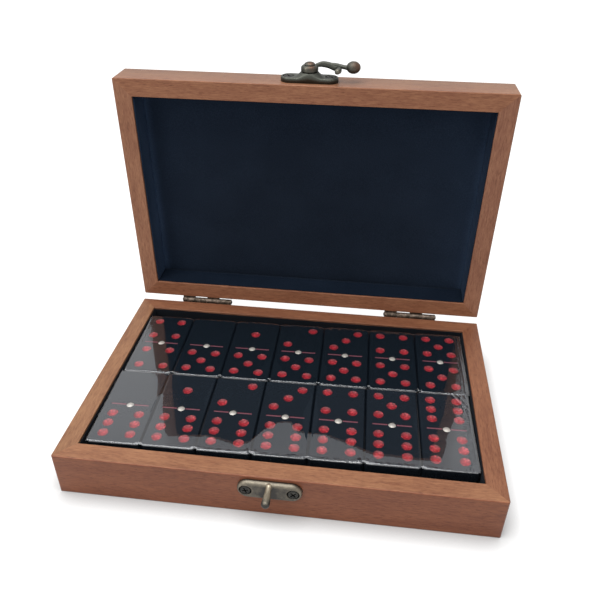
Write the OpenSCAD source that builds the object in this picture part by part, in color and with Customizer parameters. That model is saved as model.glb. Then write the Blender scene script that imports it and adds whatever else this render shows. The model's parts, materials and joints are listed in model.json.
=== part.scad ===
// Domino storage box: a hinged hardwood case with a velvet lining, a brass swing latch
// and a double-six set of spinner dominoes in two film-wrapped packs, shown open.
// Millimetres. The origin is the centre of the underside, +X runs to the right seen from
// the latch side, +Y towards the hinges and +Z up.

/* [Dominoes] */
// Width of one domino
domino_w = 25.2; // [24:0.1:28]
// Length of one domino
domino_l = 49.6; // [48:0.1:56]
// Thickness of one domino
domino_t = 9.5; // [8:0.5:12]
// Gap between two dominoes in a row
domino_gap = 0.1; // [0.05:0.05:0.5]
// Radius of a domino's four upright edges
domino_corner_r = 1.6; // [0.8:0.1:3]
// Radius of the edges round a domino's two broad faces
domino_edge_r = 1.1; // [0.3:0.1:1.4]
// Diameter of a pip at the face
pip_d = 5; // [3:0.1:5.5]
// Depth of a pip at its middle
pip_depth = 0.5; // [0.2:0.1:0.8]
// Distance from a half's middle to its side pips, across the domino
pip_across = 6.4; // [6:0.1:7]
// Distance from a half's middle to its end pips, along the domino
pip_along = 6.5; // [6:0.1:7]
// Distance from the bar to the middle of each half
half_y = 12.9; // [12:0.1:14]
// Length of the bar that divides the two halves
bar_l = 18.4; // [12:0.1:20]
// Width of the bar
bar_w = 0.9; // [0.5:0.1:1.2]
// Depth of the bar's groove
bar_depth = 0.3; // [0.2:0.1:0.6]
// Diameter of the spinner's head
spinner_d = 3.6; // [2:0.1:4]
// Thickness of the spinner's head
spinner_t = 0.5; // [0.3:0.1:0.8]
// Diameter of the spinner's stem
stem_d = 1.4; // [1:0.1:1.8]
// Length of the spinner's stem below its head
stem_l = 4; // [2:0.5:6]
// Play between the spinner and the domino, all round
spinner_fit = 0.05; // [0.02:0.01:0.1]

/* [Wrapped packs] */
// Thickness of the film
film_t = 0.15; // [0.1:0.05:0.3]
// Air between the film and the dominoes
film_gap = 0.05; // [0.02:0.01:0.1]
// Diameter of the hole in the film's underside that lets the air out
vent_d = 1.5; // [1:0.1:3]
// Turn of each pack on the floor of the box, in degrees
pack_skew = 1.1; // [0:0.1:2]
// Gap between the two packs
pack_gap = 0.1; // [0.1:0.1:1]
// How far both packs lie from the middle of the box, towards the back
pack_shift = -0.25; // [-1:0.05:1]
// Room left between a pack and the lined side walls
side_room = 0.25; // [0.2:0.05:3]
// Room left between the packs and the lined front and back walls
end_room = 2.65; // [1.2:0.05:6]
// Height of the rim above the top of the packs
rim_above_packs = 0.6; // [0.4:0.1:4]

/* [Case] */
// Height of the lid
lid_h = 18; // [17:0.5:30]
// Thickness of the rails that frame the base and the lid
rail_t = 9; // [8.5:0.5:12]
// Radius of the rails' outer edges
edge_r = 0.5; // [0.3:0.1:1.5]
// Radius of the rim's inner edge
rim_r = 0.3; // [0.2:0.1:0.8]
// Radius of the case's upright corners
corner_r = 1; // [0.7:0.1:3]
// Thickness of the bottom and top panels
panel_t = 2.5; // [2:0.5:4]
// How far the panels lap onto the rails
panel_lap = 4.5; // [3:0.5:6]
// Glue gap round a panel
panel_gap = 0.1; // [0.05:0.05:0.3]
// Gap between the two rims when the lid is shut
seam = 0.4; // [0.2:0.1:1]
// Angle at which the lid stands open
lid_open = 89; // [60:1:95]

/* [Lining] */
// Thickness of the velvet on the walls
wall_velvet_t = 0.6; // [0.4:0.1:1.5]
// How far the wall velvet stops below the rim
velvet_drop = 0.8; // [0.4:0.1:2]
// Gap where two strips of velvet meet in a corner
velvet_gap = 0.2; // [0.1:0.1:0.5]
// Thickness of the velvet on the floor of the base
floor_velvet_t = 0.5; // [0.4:0.1:1.5]
// Thickness of the velvet-covered pad in the lid
lid_pad_t = 1; // [0.6:0.1:2]

/* [Hinges] */
// Width of each hinge
hinge_w = 29.4; // [24:0.2:36]
// Distance from the case's side to the middle of the nearer hinge
hinge_inset = 38.6; // [28:0.2:50]
// Height of each hinge leaf, from the pin
leaf_h = 10; // [8.5:0.1:12]
// Thickness of the leaves
leaf_t = 1; // [0.8:0.1:1.2]
// Outer radius of the knuckles
knuckle_r = 1.6; // [1.5:0.05:1.8]
// Distance from the case's back to the pin
pin_offset = 2.1; // [2:0.05:2.5]
// Radius of the hinge pins
pin_r = 0.8; // [0.6:0.05:1]
// Play between a pin and its knuckles
pin_fit = 0.05; // [0.02:0.01:0.1]
// Gap between two knuckles
knuckle_gap = 0.12; // [0.1:0.01:0.3]
// Gap between a leaf and the other leaf's knuckles
knuckle_clear = 0.3; // [0.2:0.05:0.5]
// Radius of the pins' heads
pin_head_r = 1.3; // [1.2:0.05:1.5]
// Height of the pins' heads
pin_head_t = 0.5; // [0.4:0.1:0.8]
// Distance from the middle of a hinge to its screws
hinge_screw_x = 8.5; // [6:0.1:10]
// Distance from the pin to the hinge screws
hinge_screw_drop = 6.2; // [5.5:0.1:6.5]

/* [Latch] */
// Place of the latch and its catch across the front, from the middle
latch_x = -1.2; // [-20:0.1:20]
// Length of the latch plate and of the catch plate
plate_l = 28.4; // [27:0.2:34]
// Height of the two plates
plate_h = 9.6; // [9:0.1:11]
// Thickness of the two plates
plate_t = 2.4; // [2:0.1:2.6]
// Distance between the two screws of a plate
plate_screw_pitch = 20.8; // [20:0.1:22]
// Distance from the base's rim down to the middle of the catch plate
catch_down = 6.4; // [6:0.1:8]
// Distance from the lid's rim up to the hook's pivot
pivot_up = 8; // [7:0.1:9]
// Diameter of the peg that the hook catches
peg_d = 2.7; // [2.4:0.1:3]
// Diameter of the peg's knob
peg_knob_d = 3.7; // [3.3:0.1:4]
// Length of the peg, from the front of the case to the end of its knob
peg_l = 12.75; // [12:0.05:14]
// Radius of the pivot boss at its foot
boss_foot_r = 6.4; // [5.5:0.1:7]
// Height of the boss's top above the front of the case
boss_top = 4.5; // [4.2:0.1:4.6]
// Radius of the hook's eye
eye_r = 4.25; // [3.8:0.05:4.5]
// Height of the eye
eye_t = 3.1; // [2.8:0.1:3.4]
// Radius of the rounding round the eye
eye_e = 1; // [0.6:0.1:1.2]
// Gap between the boss and the eye
eye_gap = 0.1; // [0.05:0.05:0.2]
// Width of the hook's arm and barb
arm_w = 2.5; // [2:0.1:3]
// Thickness of the arm
arm_t = 2.1; // [1.6:0.1:2.4]
// Distance from the eye's top down to the arm's
arm_drop = 0.2; // [0.1:0.1:0.4]
// Inner radius of the arm's arch
arch_r = 17; // [12:0.5:24]
// Distance from the pivot to the top of the arch, along the arm
arch_x = 5; // [4:0.1:6]
// Play between the hook and the peg
notch_fit = 0.3; // [0.2:0.05:0.5]
// Angle that the barb reaches past the peg, about the pivot
barb_reach = 25; // [18:1:32]
// Radius of the barb's tip, as a share of the barb's width
barb_tip = 0.6; // [0.55:0.05:0.9]
// Width of the tail between the hook and its ball
tail_w = 2.2; // [1.6:0.1:2.6]
// Distance from the pivot to the ball
ball_x = 21.2; // [20.5:0.1:26]
// Radius of the ball
ball_r = 3.5; // [2.8:0.1:3.8]
// How far the ball's middle lies above the arm's
ball_lift = 0.3; // [0:0.1:0.6]
// How far the tail lies beside the line from the pivot to the peg
ball_y = 0.4; // [0:0.1:0.8]
// Radius of the rivet's stem
rivet_r = 1.2; // [1:0.05:1.5]
// Radius of the rivet's head
rivet_head_r = 2.7; // [2.2:0.1:3.2]
// Height of the rivet's head
rivet_head_t = 1.35; // [1:0.05:1.6]
// Depth of wood and plate left under the rivet's stem
rivet_foot = 0.6; // [0.4:0.1:1]
// Play between the rivet and the eye
rivet_fit = 0.06; // [0.02:0.01:0.1]

/* [Screws] */
// Radius of a plate screw's head
plate_head_r = 2.35; // [2:0.05:2.4]
// Height of a plate screw's head
plate_head_t = 1.4; // [1:0.1:1.5]
// Radius of the rounding round a plate screw's head
plate_head_e = 0.5; // [0.3:0.1:0.6]
// Radius of a plate screw's shank
plate_shank_r = 1.3; // [1:0.05:1.5]
// Length of a plate screw's shank below its head
plate_shank_l = 7; // [5:0.5:8]
// Radius of a hinge screw's head
hinge_head_r = 1.95; // [1.7:0.05:2.1]
// Radius of a hinge screw's shank
hinge_shank_r = 0.95; // [0.8:0.05:1.1]
// Length of a hinge screw, with its head
hinge_screw_l = 7; // [5:0.5:8]
// Width of the cross in a screw's head
cross_w = 0.6; // [0.4:0.1:0.8]
// Depth of the cross in a plate screw's head
cross_depth = 0.8; // [0.4:0.1:1]
// Play round a screw in its hole
screw_fit = 0.05; // [0.02:0.01:0.1]
// Play round a screw's head in its seat
seat_fit = 0.35; // [0.2:0.05:0.5]

/* [Hidden] */
per_row = 7;
layers = 2;
slack = 0.5; // how far a cutting shape runs past what it cuts
past = 0.1; // how far two shapes of one piece run into each other
fine = 48; // facets of a previewed circle

// The dominoes of each layer, as [pips at the back, pips at the front], from left to right.
front_upper = [for (pips = [0:6]) [pips, 6]];
back_upper = concat([[4, 4]], [for (pips = [0:5]) [pips, 5]]);
front_lower = concat([for (pips = [0:4]) [0, pips]], [[1, 1], [1, 2]]);
back_lower = [[1, 3], [1, 4], [2, 2], [2, 3], [2, 4], [3, 3], [3, 4]];
front_layers = [front_lower, front_upper];
back_layers = [back_lower, back_upper];
all_dominoes = concat(front_lower, front_upper, back_lower, back_upper);
function domino_name(d) = str("domino_", d[0], "_", d[1]);

// A pack: its dominoes, the air round them and the film.
skin = film_t + film_gap;
pitch = domino_w + domino_gap;
pack_w = per_row * pitch - domino_gap + 2 * skin;
pack_l = domino_l + 2 * skin;
pack_h = layers * domino_t + 2 * skin;
pack_pitch = (pack_l + pack_gap) / cos(pack_skew);

// The case is built round the two packs as they lie.
lined_w = pack_w * cos(pack_skew) + pack_l * sin(pack_skew) + 2 * side_room;
lined_d = pack_pitch + pack_l * cos(pack_skew) + pack_w * sin(pack_skew) + 2 * end_room;
inner_w = lined_w + 2 * wall_velvet_t;
inner_d = lined_d + 2 * wall_velvet_t;
box_w = inner_w + 2 * rail_t;
box_d = inner_d + 2 * rail_t;
pack_z = panel_t + floor_velvet_t;
base_h = pack_z + pack_h + rim_above_packs;
lid_z = base_h + seam;

// Hinges
hinge_x = box_w / 2 - hinge_inset;
hinge_y = box_d / 2 + pin_offset;
hinge_z = base_h + seam / 2;
knuckles = 4;
knuckle_l = hinge_w / knuckles;
lid_knuckles = [0, 2];
base_knuckles = [1, 3];

// Latch
peg_up = plate_h / 2 - peg_d / 2 - past;
reach = pivot_up + seam + catch_down - peg_up; // from the pivot to the peg, shut
notch_r = peg_d / 2 + notch_fit;
barb_r = reach + notch_r;
arch_y = notch_r - sqrt(arch_r * arch_r - (reach - arch_x) * (reach - arch_x));
eye_z = boss_top + eye_gap;
arm_z = eye_z + eye_t - arm_t - arm_drop;
ball_z = arm_z + arm_t / 2 + ball_lift;
plate_screws = [-plate_screw_pitch / 2, plate_screw_pitch / 2];

wood = [0.53, 0.33, 0.24];
panel_wood = [0.48, 0.30, 0.22];
velvet = [0.07, 0.09, 0.13];
old_brass = [0.36, 0.33, 0.26];
dark_brass = [0.22, 0.21, 0.18];
ebonite = [0.08, 0.09, 0.11];
nickel = [0.80, 0.80, 0.76];
film = [0.75, 0.80, 0.85, 0.35];

// ---- Plain shapes ----

// What rounding a corner takes off: the corner is at the origin, its material up and right.
module corner_waste(r) {
    difference() {
        translate([-slack, -slack]) square(r + slack);
        translate([r, r]) circle(r, $fn = fine);
    }
}

// A rectangle about the origin with four rounded corners.
module rounded_rect(w, h, r) {
    difference() {
        square([w, h], center = true);
        for (turn = [0, 180]) rotate(turn) {
            translate([-w / 2, -h / 2]) corner_waste(r);
            translate([w / 2, -h / 2]) rotate(90) corner_waste(r);
        }
    }
}

// A bar with half-round ends, as long as l and as high as h.
module stadium(l, h) {
    square([l - h, h], center = true);
    for (side = [-1, 1]) translate([side * (l - h) / 2, 0]) circle(h / 2, $fn = fine);
}

// A disc of radius r and thickness t whose outer edges are rounded by e.
module rounded_disc(r, t, e) {
    rotate_extrude($fn = fine) difference() {
        square([r, t]);
        translate([r, 0]) rotate(90) corner_waste(e);
        translate([r, t]) rotate(180) corner_waste(e);
    }
}

// A low dome of radius r and height h, flat side down.
module dome(r, h) {
    ball = (r * r + h * h) / (2 * h);
    rotate_extrude($fn = fine) intersection() {
        square([r, h]);
        translate([0, h - ball]) circle(ball, $fn = 2 * fine);
    }
}

// A round hole or stem along Z from z0 to z1.
module rod(r, z0, z1) {
    translate([0, 0, z0]) cylinder(r = r, h = z1 - z0, $fn = fine);
}

// The cross that a screwdriver fits, cut from z = 0 downwards.
module driver_cross(arm, depth) {
    for (turn = [0, 90]) rotate(turn)
        translate([-arm / 2, -cross_w / 2, -depth]) cube([arm, cross_w, depth + slack]);
}

// ---- Where things go ----

// Turns the lid's pieces from shut to open about the hinge pins.
module opened() {
    translate([0, hinge_y, hinge_z]) rotate([-lid_open, 0, 0])
        translate([0, -hinge_y, -hinge_z]) children();
}

// Puts a piece drawn on the XY plane, face up, on the front of the case at height z.
module on_front(z) {
    translate([latch_x, -box_d / 2, z]) rotate([90, 0, 0]) children();
}

// Places the children at each hinge, with the pin's middle at the origin.
module at_hinge(side) {
    translate([side * hinge_x, hinge_y, hinge_z]) children();
}

// Places a pack's pieces: the pack's underside is at z = 0, its middle at the origin.
module in_pack(side) {
    translate([0, pack_shift + side * pack_pitch / 2, pack_z]) rotate(pack_skew) children();
}

// ---- Rails and panels ----

// Section of a rail: outer face at x = 0, rim at the top, rabbet for the panel at the foot.
module rail_section(h) {
    difference() {
        square([rail_t, h]);
        corner_waste(edge_r);
        translate([0, h]) rotate(-90) corner_waste(edge_r);
        translate([rail_t, h]) rotate(180) corner_waste(rim_r);
        translate([rail_t - panel_lap, -slack]) square([panel_lap + slack, panel_t + slack]);
    }
}

// The rail along the front of a frame, mitred at both ends, with its rim up.
module mitred_rail(along, across, h) {
    face = -across / 2;
    reach_in = rail_t + slack;
    intersection() {
        translate([-along / 2, face, 0]) rotate([90, 0, 90]) linear_extrude(along) rail_section(h);
        linear_extrude(h) polygon([
            [-along / 2 - slack, face - slack],
            [along / 2 + slack, face - slack],
            [along / 2 - reach_in, face + reach_in],
            [-along / 2 + reach_in, face + reach_in]]);
        linear_extrude(h) rounded_rect(along, across, corner_r);
    }
}

// One of the four rails of a frame: turn 0 is the front, 90 the right side.
module frame_rail(turn, h) {
    along = turn % 180 == 0 ? box_w : box_d;
    across = turn % 180 == 0 ? box_d : box_w;
    rotate(turn) mitred_rail(along, across, h);
}

// Turns a frame rail over, so that its rim faces down, and lifts it into the shut lid.
module lid_rail(turn) {
    translate([0, 0, lid_z + lid_h]) mirror([0, 0, 1]) frame_rail(turn, lid_h);
}

// The thin board that closes a frame, let into its rails.
module panel(z) {
    over = 2 * (panel_lap - panel_gap);
    translate([-(inner_w + over) / 2, -(inner_d + over) / 2, z])
        cube([inner_w + over, inner_d + over, panel_t]);
}

// Holes in the wood for a plate's two screws, on the front at height z.
module plate_pilots(z) {
    on_front(z) for (x = plate_screws) translate([x, 0, 0])
        rod(plate_shank_r + screw_fit, plate_screw_foot - slack, slack);
}
plate_screw_foot = plate_t - plate_head_t - plate_shank_l;

// Holes in the wood for one hinge's two screws: up is 1 in the lid and -1 in the base.
module hinge_pilots(up) {
    for (side = [-1, 1]) at_hinge(side) at_hinge_screws(up)
        rod(hinge_shank_r + screw_fit, -hinge_screw_l - slack, slack);
}

// Puts a screw, head up at z = 0, into each hole of a leaf.
module at_hinge_screws(up) {
    for (x = [-hinge_screw_x, hinge_screw_x])
        translate([x, leaf_t - pin_offset, up * hinge_screw_drop]) rotate([-90, 0, 0]) children();
}

// ---- Lining ----

// Four strips of velvet on the inner walls, from z0 to z1, a corner's gap apart.
module wall_strips(z0, z1) {
    side_l = inner_d - 2 * wall_velvet_t - 2 * velvet_gap;
    for (side = [-1, 1]) {
        translate([-inner_w / 2, side * (inner_d - wall_velvet_t) / 2 - wall_velvet_t / 2, z0])
            cube([inner_w, wall_velvet_t, z1 - z0]);
        translate([side * (inner_w - wall_velvet_t) / 2 - wall_velvet_t / 2, -side_l / 2, z0])
            cube([wall_velvet_t, side_l, z1 - z0]);
    }
}

// A sheet that covers the floor of a frame from wall to wall.
module floor_sheet(z, t) {
    translate([-inner_w / 2, -inner_d / 2, z]) cube([inner_w, inner_d, t]);
}

// ---- Hinges ----

// Middle of knuckle k along the pin.
function knuckle_x(k) = (k - (knuckles - 1) / 2) * knuckle_l;

// A leaf with its own knuckles, on the pin's axis: up is 1 for the lid and -1 for the base.
module hinge_leaf(own, up) {
    foot = knuckle_r + knuckle_clear;
    web = foot + past;
    difference() {
        union() {
            translate([-hinge_w / 2, -pin_offset, up > 0 ? foot : -leaf_h])
                cube([hinge_w, leaf_t, leaf_h - foot]);
            for (k = own) translate([knuckle_x(k), 0, 0]) {
                l = knuckle_l - knuckle_gap;
                translate([-l / 2, -pin_offset, up > 0 ? 0 : -web]) cube([l, leaf_t, web]);
                rotate([0, 90, 0]) rod(knuckle_r, -l / 2, l / 2);
            }
        }
        rotate([0, 90, 0]) rod(pin_r + pin_fit, -hinge_w, hinge_w);
        at_hinge_screws(up) {
            translate([0, 0, -leaf_t]) cylinder(
                r1 = hinge_shank_r + screw_fit, r2 = hinge_head_r + screw_fit,
                h = leaf_t, $fn = fine);
            rod(hinge_shank_r + screw_fit, -leaf_t - slack, past - leaf_t);
            rod(hinge_head_r + screw_fit, -past / 2, slack);
        }
    }
}

// The pin of one hinge, with a small head at each end.
module hinge_pin() {
    end = hinge_w / 2 + pin_fit;
    rotate([0, 90, 0]) rod(pin_r, -end, end);
    for (side = [-1, 1]) translate([side * end, 0, 0]) rotate([0, side * 90, 0])
        translate([0, 0, -past]) dome(pin_head_r, pin_head_t + past);
}

// A flat-headed screw whose head is flush at z = 0.
module hinge_screw() {
    cone_l = leaf_t - past;
    difference() {
        union() {
            translate([0, 0, -cone_l])
                cylinder(r1 = hinge_shank_r, r2 = hinge_head_r, h = cone_l, $fn = fine);
            rod(hinge_shank_r, -hinge_screw_l, -cone_l + past / 2);
        }
        driver_cross(1.1 * hinge_head_r, leaf_t / 2);
    }
}

// ---- Latch and catch ----

// Seat and hole of each of a plate's screws.
module plate_holes() {
    for (x = plate_screws) translate([x, 0, 0]) {
        rod(plate_shank_r + screw_fit, -slack, plate_t);
        rod(plate_head_r + seat_fit, plate_t - plate_head_t, plate_t + slack);
    }
}

// A round-ended plate with two screw holes.
module screw_plate() {
    difference() {
        linear_extrude(plate_t) stadium(plate_l, plate_h);
        plate_holes();
    }
}

// The screws of a plate, their heads in its seats.
module plate_screw_pair() {
    for (x = plate_screws) translate([x, 0, 0]) difference() {
        union() {
            translate([0, 0, plate_t - plate_head_t])
                rounded_disc(plate_head_r, plate_head_t, plate_head_e);
            rod(plate_shank_r, plate_screw_foot, plate_t - plate_head_t + past);
        }
        translate([0, 0, plate_t]) rotate(30 + x) driver_cross(1.3 * plate_head_r, cross_depth);
    }
}

// The plate on the base, with the peg that the hook goes round along its upper edge.
module catch_and_peg() {
    knob_r = peg_knob_d / 2;
    screw_plate();
    translate([0, peg_up, 0]) {
        rod(peg_d / 2, plate_t - past, peg_l - knob_r);
        translate([0, 0, peg_l - knob_r]) sphere(knob_r, $fn = fine);
    }
}

// The plate on the lid, with the boss that the hook turns on.
module latch_and_boss() {
    difference() {
        union() {
            screw_plate();
            intersection() {
                translate([0, 0, plate_t - past]) cylinder(
                    r1 = boss_foot_r, r2 = eye_r, h = boss_top - plate_t + past, $fn = fine);
                linear_extrude(boss_top + slack) stadium(plate_l, plate_h);
            }
        }
        rod(rivet_r + screw_fit, rivet_foot, boss_top + slack);
        plate_holes();
    }
}

// The rivet that holds the hook on its boss.
module rivet() {
    head_z = eye_z + eye_t + eye_gap;
    rod(rivet_r, rivet_foot, head_z + past);
    translate([0, 0, head_z]) dome(rivet_head_r, rivet_head_t);
}

// Outline of the hook's arm, barb and tail: pivot at the origin, arm along +X, barb below.
module hook_outline() {
    intersection() { // the arch from the eye to the notch
        translate([arch_x, arch_y]) difference() {
            circle(arch_r + arm_w, $fn = 2 * fine);
            circle(arch_r, $fn = 2 * fine);
        }
        square([reach + past / 2, arch_r]);
    }
    intersection() { // round the peg
        translate([reach, 0]) difference() {
            circle(notch_r + arm_w, $fn = fine);
            circle(notch_r, $fn = fine);
        }
        translate([reach, -past / 2]) square(2 * notch_r + arm_w);
    }
    intersection() { // the barb, which swings past the peg about the pivot
        difference() {
            circle(barb_r + arm_w, $fn = 2 * fine);
            circle(barb_r, $fn = 2 * fine);
        }
        union() {
            polygon([[0, 0], [2 * barb_r, 0],
                     [2 * barb_r * cos(barb_reach), -2 * barb_r * sin(barb_reach)]]);
            rotate(-barb_reach) translate([barb_r + arm_w / 2, 0])
                circle(barb_tip * arm_w, $fn = fine);
        }
    }
    translate([barb_r + past, ball_y - tail_w / 2]) square([ball_x - barb_r - past, tail_w]);
}

// The hook: a round eye, the arm with its barb, and the ball that a finger pushes.
module hook() {
    difference() {
        union() {
            translate([0, 0, eye_z]) rounded_disc(eye_r, eye_t, eye_e);
            translate([0, 0, arm_z]) linear_extrude(arm_t) hook_outline();
            translate([ball_x, ball_y, ball_z]) sphere(ball_r, $fn = fine);
        }
        rod(rivet_r + rivet_fit, 0, eye_z + eye_t + slack);
    }
}

// ---- Dominoes ----

// Places of n pips on one half, in steps from the half's middle.
function pips(n) = concat(
    n % 2 == 1 ? [[0, 0]] : [],
    n > 1 ? [[-1, -1], [1, 1]] : [],
    n > 3 ? [[-1, 1], [1, -1]] : [],
    n == 6 ? [[-1, 0], [1, 0]] : []);

// The smooth block, before its face is cut.
module domino_block() {
    intersection() {
        linear_extrude(domino_t) rounded_rect(domino_w, domino_l, domino_corner_r);
        translate([0, domino_l / 2, domino_t / 2]) rotate([90, 0, 0])
            linear_extrude(domino_l) rounded_rect(domino_w, domino_t, domino_edge_r);
        translate([-domino_w / 2, 0, domino_t / 2]) rotate([90, 0, 90])
            linear_extrude(domino_w) rounded_rect(domino_l, domino_t, domino_edge_r);
    }
}

// A domino with its face up: pips[0] at the back, pips[1] at the front.
module domino(d) {
    pip_ball = (pip_d * pip_d / 4 + pip_depth * pip_depth) / (2 * pip_depth);
    color(ebonite) difference() {
        domino_block();
        for (half = [0, 1], p = pips(d[half]))
            translate([p[0] * pip_across, (1 - 2 * half) * half_y + p[1] * pip_along,
                       domino_t + pip_ball - pip_depth])
                sphere(pip_ball, $fn = 2 * fine);
        translate([-bar_l / 2, -bar_w / 2, domino_t - bar_depth]) cube([bar_l, bar_w, slack]);
        rod(spinner_d / 2 + spinner_fit, domino_t - spinner_t - spinner_fit, domino_t + slack);
        rod(stem_d / 2 + spinner_fit, domino_t - spinner_t - stem_l - 2 * spinner_fit, domino_t);
    }
}

// The spinner of a domino: a domed head flush with the face and a stem in the middle.
module spinner() {
    translate([0, 0, domino_t - spinner_t]) dome(spinner_d / 2, spinner_t);
    rod(stem_d / 2, domino_t - spinner_t - stem_l, domino_t - spinner_t + past);
}

// Place of column c of layer k in its pack.
function slot(c, k) = [(c - (per_row - 1) / 2) * pitch, 0, skin + k * domino_t];

// The domino d, wherever it lies in a pack.
module packed_domino(d) {
    for (side = [-1, 1], k = [0:layers - 1], c = [0:per_row - 1])
        if ((side < 0 ? front_layers : back_layers)[k][c] == d)
            in_pack(side) translate(slot(c, k)) domino(d);
}

module pack_spinners(side) {
    color(nickel) in_pack(side)
        for (k = [0:layers - 1], c = [0:per_row - 1]) translate(slot(c, k)) spinner();
}

// The film round a pack, with an air hole underneath.
module wrap(side) {
    color(film) in_pack(side) difference() {
        translate([-pack_w / 2, -pack_l / 2, 0]) cube([pack_w, pack_l, pack_h]);
        translate([-pack_w / 2 + film_t, -pack_l / 2 + film_t, film_t])
            cube([pack_w - 2 * film_t, pack_l - 2 * film_t, pack_h - 2 * film_t]);
        translate([pitch / 2, 0, 0]) rod(vent_d / 2, -slack, film_t + slack);
    }
}

// ---- Pieces of the base ----

module base_front_rail() {
    color(wood) difference() {
        frame_rail(0, base_h);
        plate_pilots(base_h - catch_down);
    }
}

module base_back_rail() {
    color(wood) difference() {
        frame_rail(180, base_h);
        hinge_pilots(-1);
    }
}

module base_left_rail() { color(wood) frame_rail(270, base_h); }

module base_right_rail() { color(wood) frame_rail(90, base_h); }

module base_bottom_panel() { color(panel_wood) panel(0); }

module base_floor_velvet() { color(velvet) floor_sheet(panel_t, floor_velvet_t); }

module base_wall_velvet() { color(velvet) wall_strips(pack_z, base_h - velvet_drop); }

module catch_plate() { color(old_brass) on_front(base_h - catch_down) catch_and_peg(); }

module catch_screws() { color(dark_brass) on_front(base_h - catch_down) plate_screw_pair(); }

module base_leaf(side) { color(old_brass) at_hinge(side) hinge_leaf(base_knuckles, -1); }

module pin(side) { color(dark_brass) at_hinge(side) hinge_pin(); }

module hinge_base_screws() {
    color(dark_brass) for (side = [-1, 1]) at_hinge(side) at_hinge_screws(-1) hinge_screw();
}

// ---- Pieces of the lid ----

module lid_front_rail() {
    color(wood) opened() difference() {
        lid_rail(0);
        plate_pilots(lid_z + pivot_up);
    }
}

module lid_back_rail() {
    color(wood) opened() difference() {
        lid_rail(180);
        hinge_pilots(1);
    }
}

module lid_left_rail() { color(wood) opened() lid_rail(270); }

module lid_right_rail() { color(wood) opened() lid_rail(90); }

module lid_top_panel() { color(panel_wood) opened() panel(lid_z + lid_h - panel_t); }

module lid_velvet_pad() {
    color(velvet) opened() floor_sheet(lid_z + lid_h - panel_t - lid_pad_t, lid_pad_t);
}

module lid_wall_velvet() {
    color(velvet) opened() wall_strips(lid_z + velvet_drop, lid_z + lid_h - panel_t - lid_pad_t);
}

module lid_leaf(side) { color(old_brass) opened() at_hinge(side) hinge_leaf(lid_knuckles, 1); }

module hinge_lid_screws() {
    color(dark_brass) opened()
        for (side = [-1, 1]) at_hinge(side) at_hinge_screws(1) hinge_screw();
}

module latch_plate() { color(old_brass) opened() on_front(lid_z + pivot_up) latch_and_boss(); }

module latch_screws() { color(dark_brass) opened() on_front(lid_z + pivot_up) plate_screw_pair(); }

module latch_rivet() { color(dark_brass) opened() on_front(lid_z + pivot_up) rivet(); }

module latch_hook() { color(old_brass) opened() on_front(lid_z + pivot_up) hook(); }

// ---- The part ----

base_front_rail();
base_back_rail();
base_left_rail();
base_right_rail();
base_bottom_panel();
base_floor_velvet();
base_wall_velvet();
catch_plate();
catch_screws();
base_leaf(-1);  // hinge_left_base_leaf
base_leaf(1);  // hinge_right_base_leaf
pin(-1);  // hinge_left_pin
pin(1);  // hinge_right_pin
hinge_base_screws();
lid_front_rail();
lid_back_rail();
lid_left_rail();
lid_right_rail();
lid_top_panel();
lid_velvet_pad();
lid_wall_velvet();
lid_leaf(-1);  // hinge_left_lid_leaf
lid_leaf(1);  // hinge_right_lid_leaf
hinge_lid_screws();
latch_plate();
latch_screws();
latch_rivet();
latch_hook();
pack_spinners(-1);  // spinners_front
pack_spinners(1);  // spinners_back
wrap(-1);  // wrap_front
wrap(1);  // wrap_back
for (d = all_dominoes)
    packed_domino(d);
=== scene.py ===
import json
import math
import bpy
import numpy as np
from mathutils import Matrix, Vector

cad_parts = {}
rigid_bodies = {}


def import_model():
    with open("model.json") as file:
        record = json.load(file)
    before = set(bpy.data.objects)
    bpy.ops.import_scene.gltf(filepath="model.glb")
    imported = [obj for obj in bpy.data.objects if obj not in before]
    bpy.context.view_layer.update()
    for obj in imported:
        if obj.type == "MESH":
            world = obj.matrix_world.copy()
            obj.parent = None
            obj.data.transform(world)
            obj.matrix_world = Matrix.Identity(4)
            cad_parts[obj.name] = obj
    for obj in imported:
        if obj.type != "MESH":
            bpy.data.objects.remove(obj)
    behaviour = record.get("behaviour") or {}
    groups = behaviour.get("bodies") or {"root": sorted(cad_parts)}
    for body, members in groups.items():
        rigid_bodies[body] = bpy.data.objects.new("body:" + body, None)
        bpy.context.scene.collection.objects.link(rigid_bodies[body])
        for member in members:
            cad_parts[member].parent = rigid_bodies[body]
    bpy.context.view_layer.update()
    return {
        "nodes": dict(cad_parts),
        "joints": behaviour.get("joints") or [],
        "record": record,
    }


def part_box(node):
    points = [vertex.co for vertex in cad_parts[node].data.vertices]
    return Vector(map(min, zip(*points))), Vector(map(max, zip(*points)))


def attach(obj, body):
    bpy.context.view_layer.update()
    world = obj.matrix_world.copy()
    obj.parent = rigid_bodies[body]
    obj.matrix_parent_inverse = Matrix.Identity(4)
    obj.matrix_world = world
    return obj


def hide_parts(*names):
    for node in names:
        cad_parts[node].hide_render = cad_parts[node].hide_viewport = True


# Domino box: hinged hardwood case, velvet lining, brass hook, two film-wrapped packs
for leftOver in list(bpy.data.objects):
    bpy.data.objects.remove(leftOver)
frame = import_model()
mm = 0.001
nodes = frame["nodes"]
joints = {joint["name"]: joint for joint in frame["joints"]}
print("frame loaded:", len(nodes), "nodes")


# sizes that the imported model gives

def nodeSize(name):
    low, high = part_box(name)
    return np.array(high) - np.array(low)


def nodeMiddle(name):
    low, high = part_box(name)
    return (np.array(high) + np.array(low)) / 2


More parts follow.
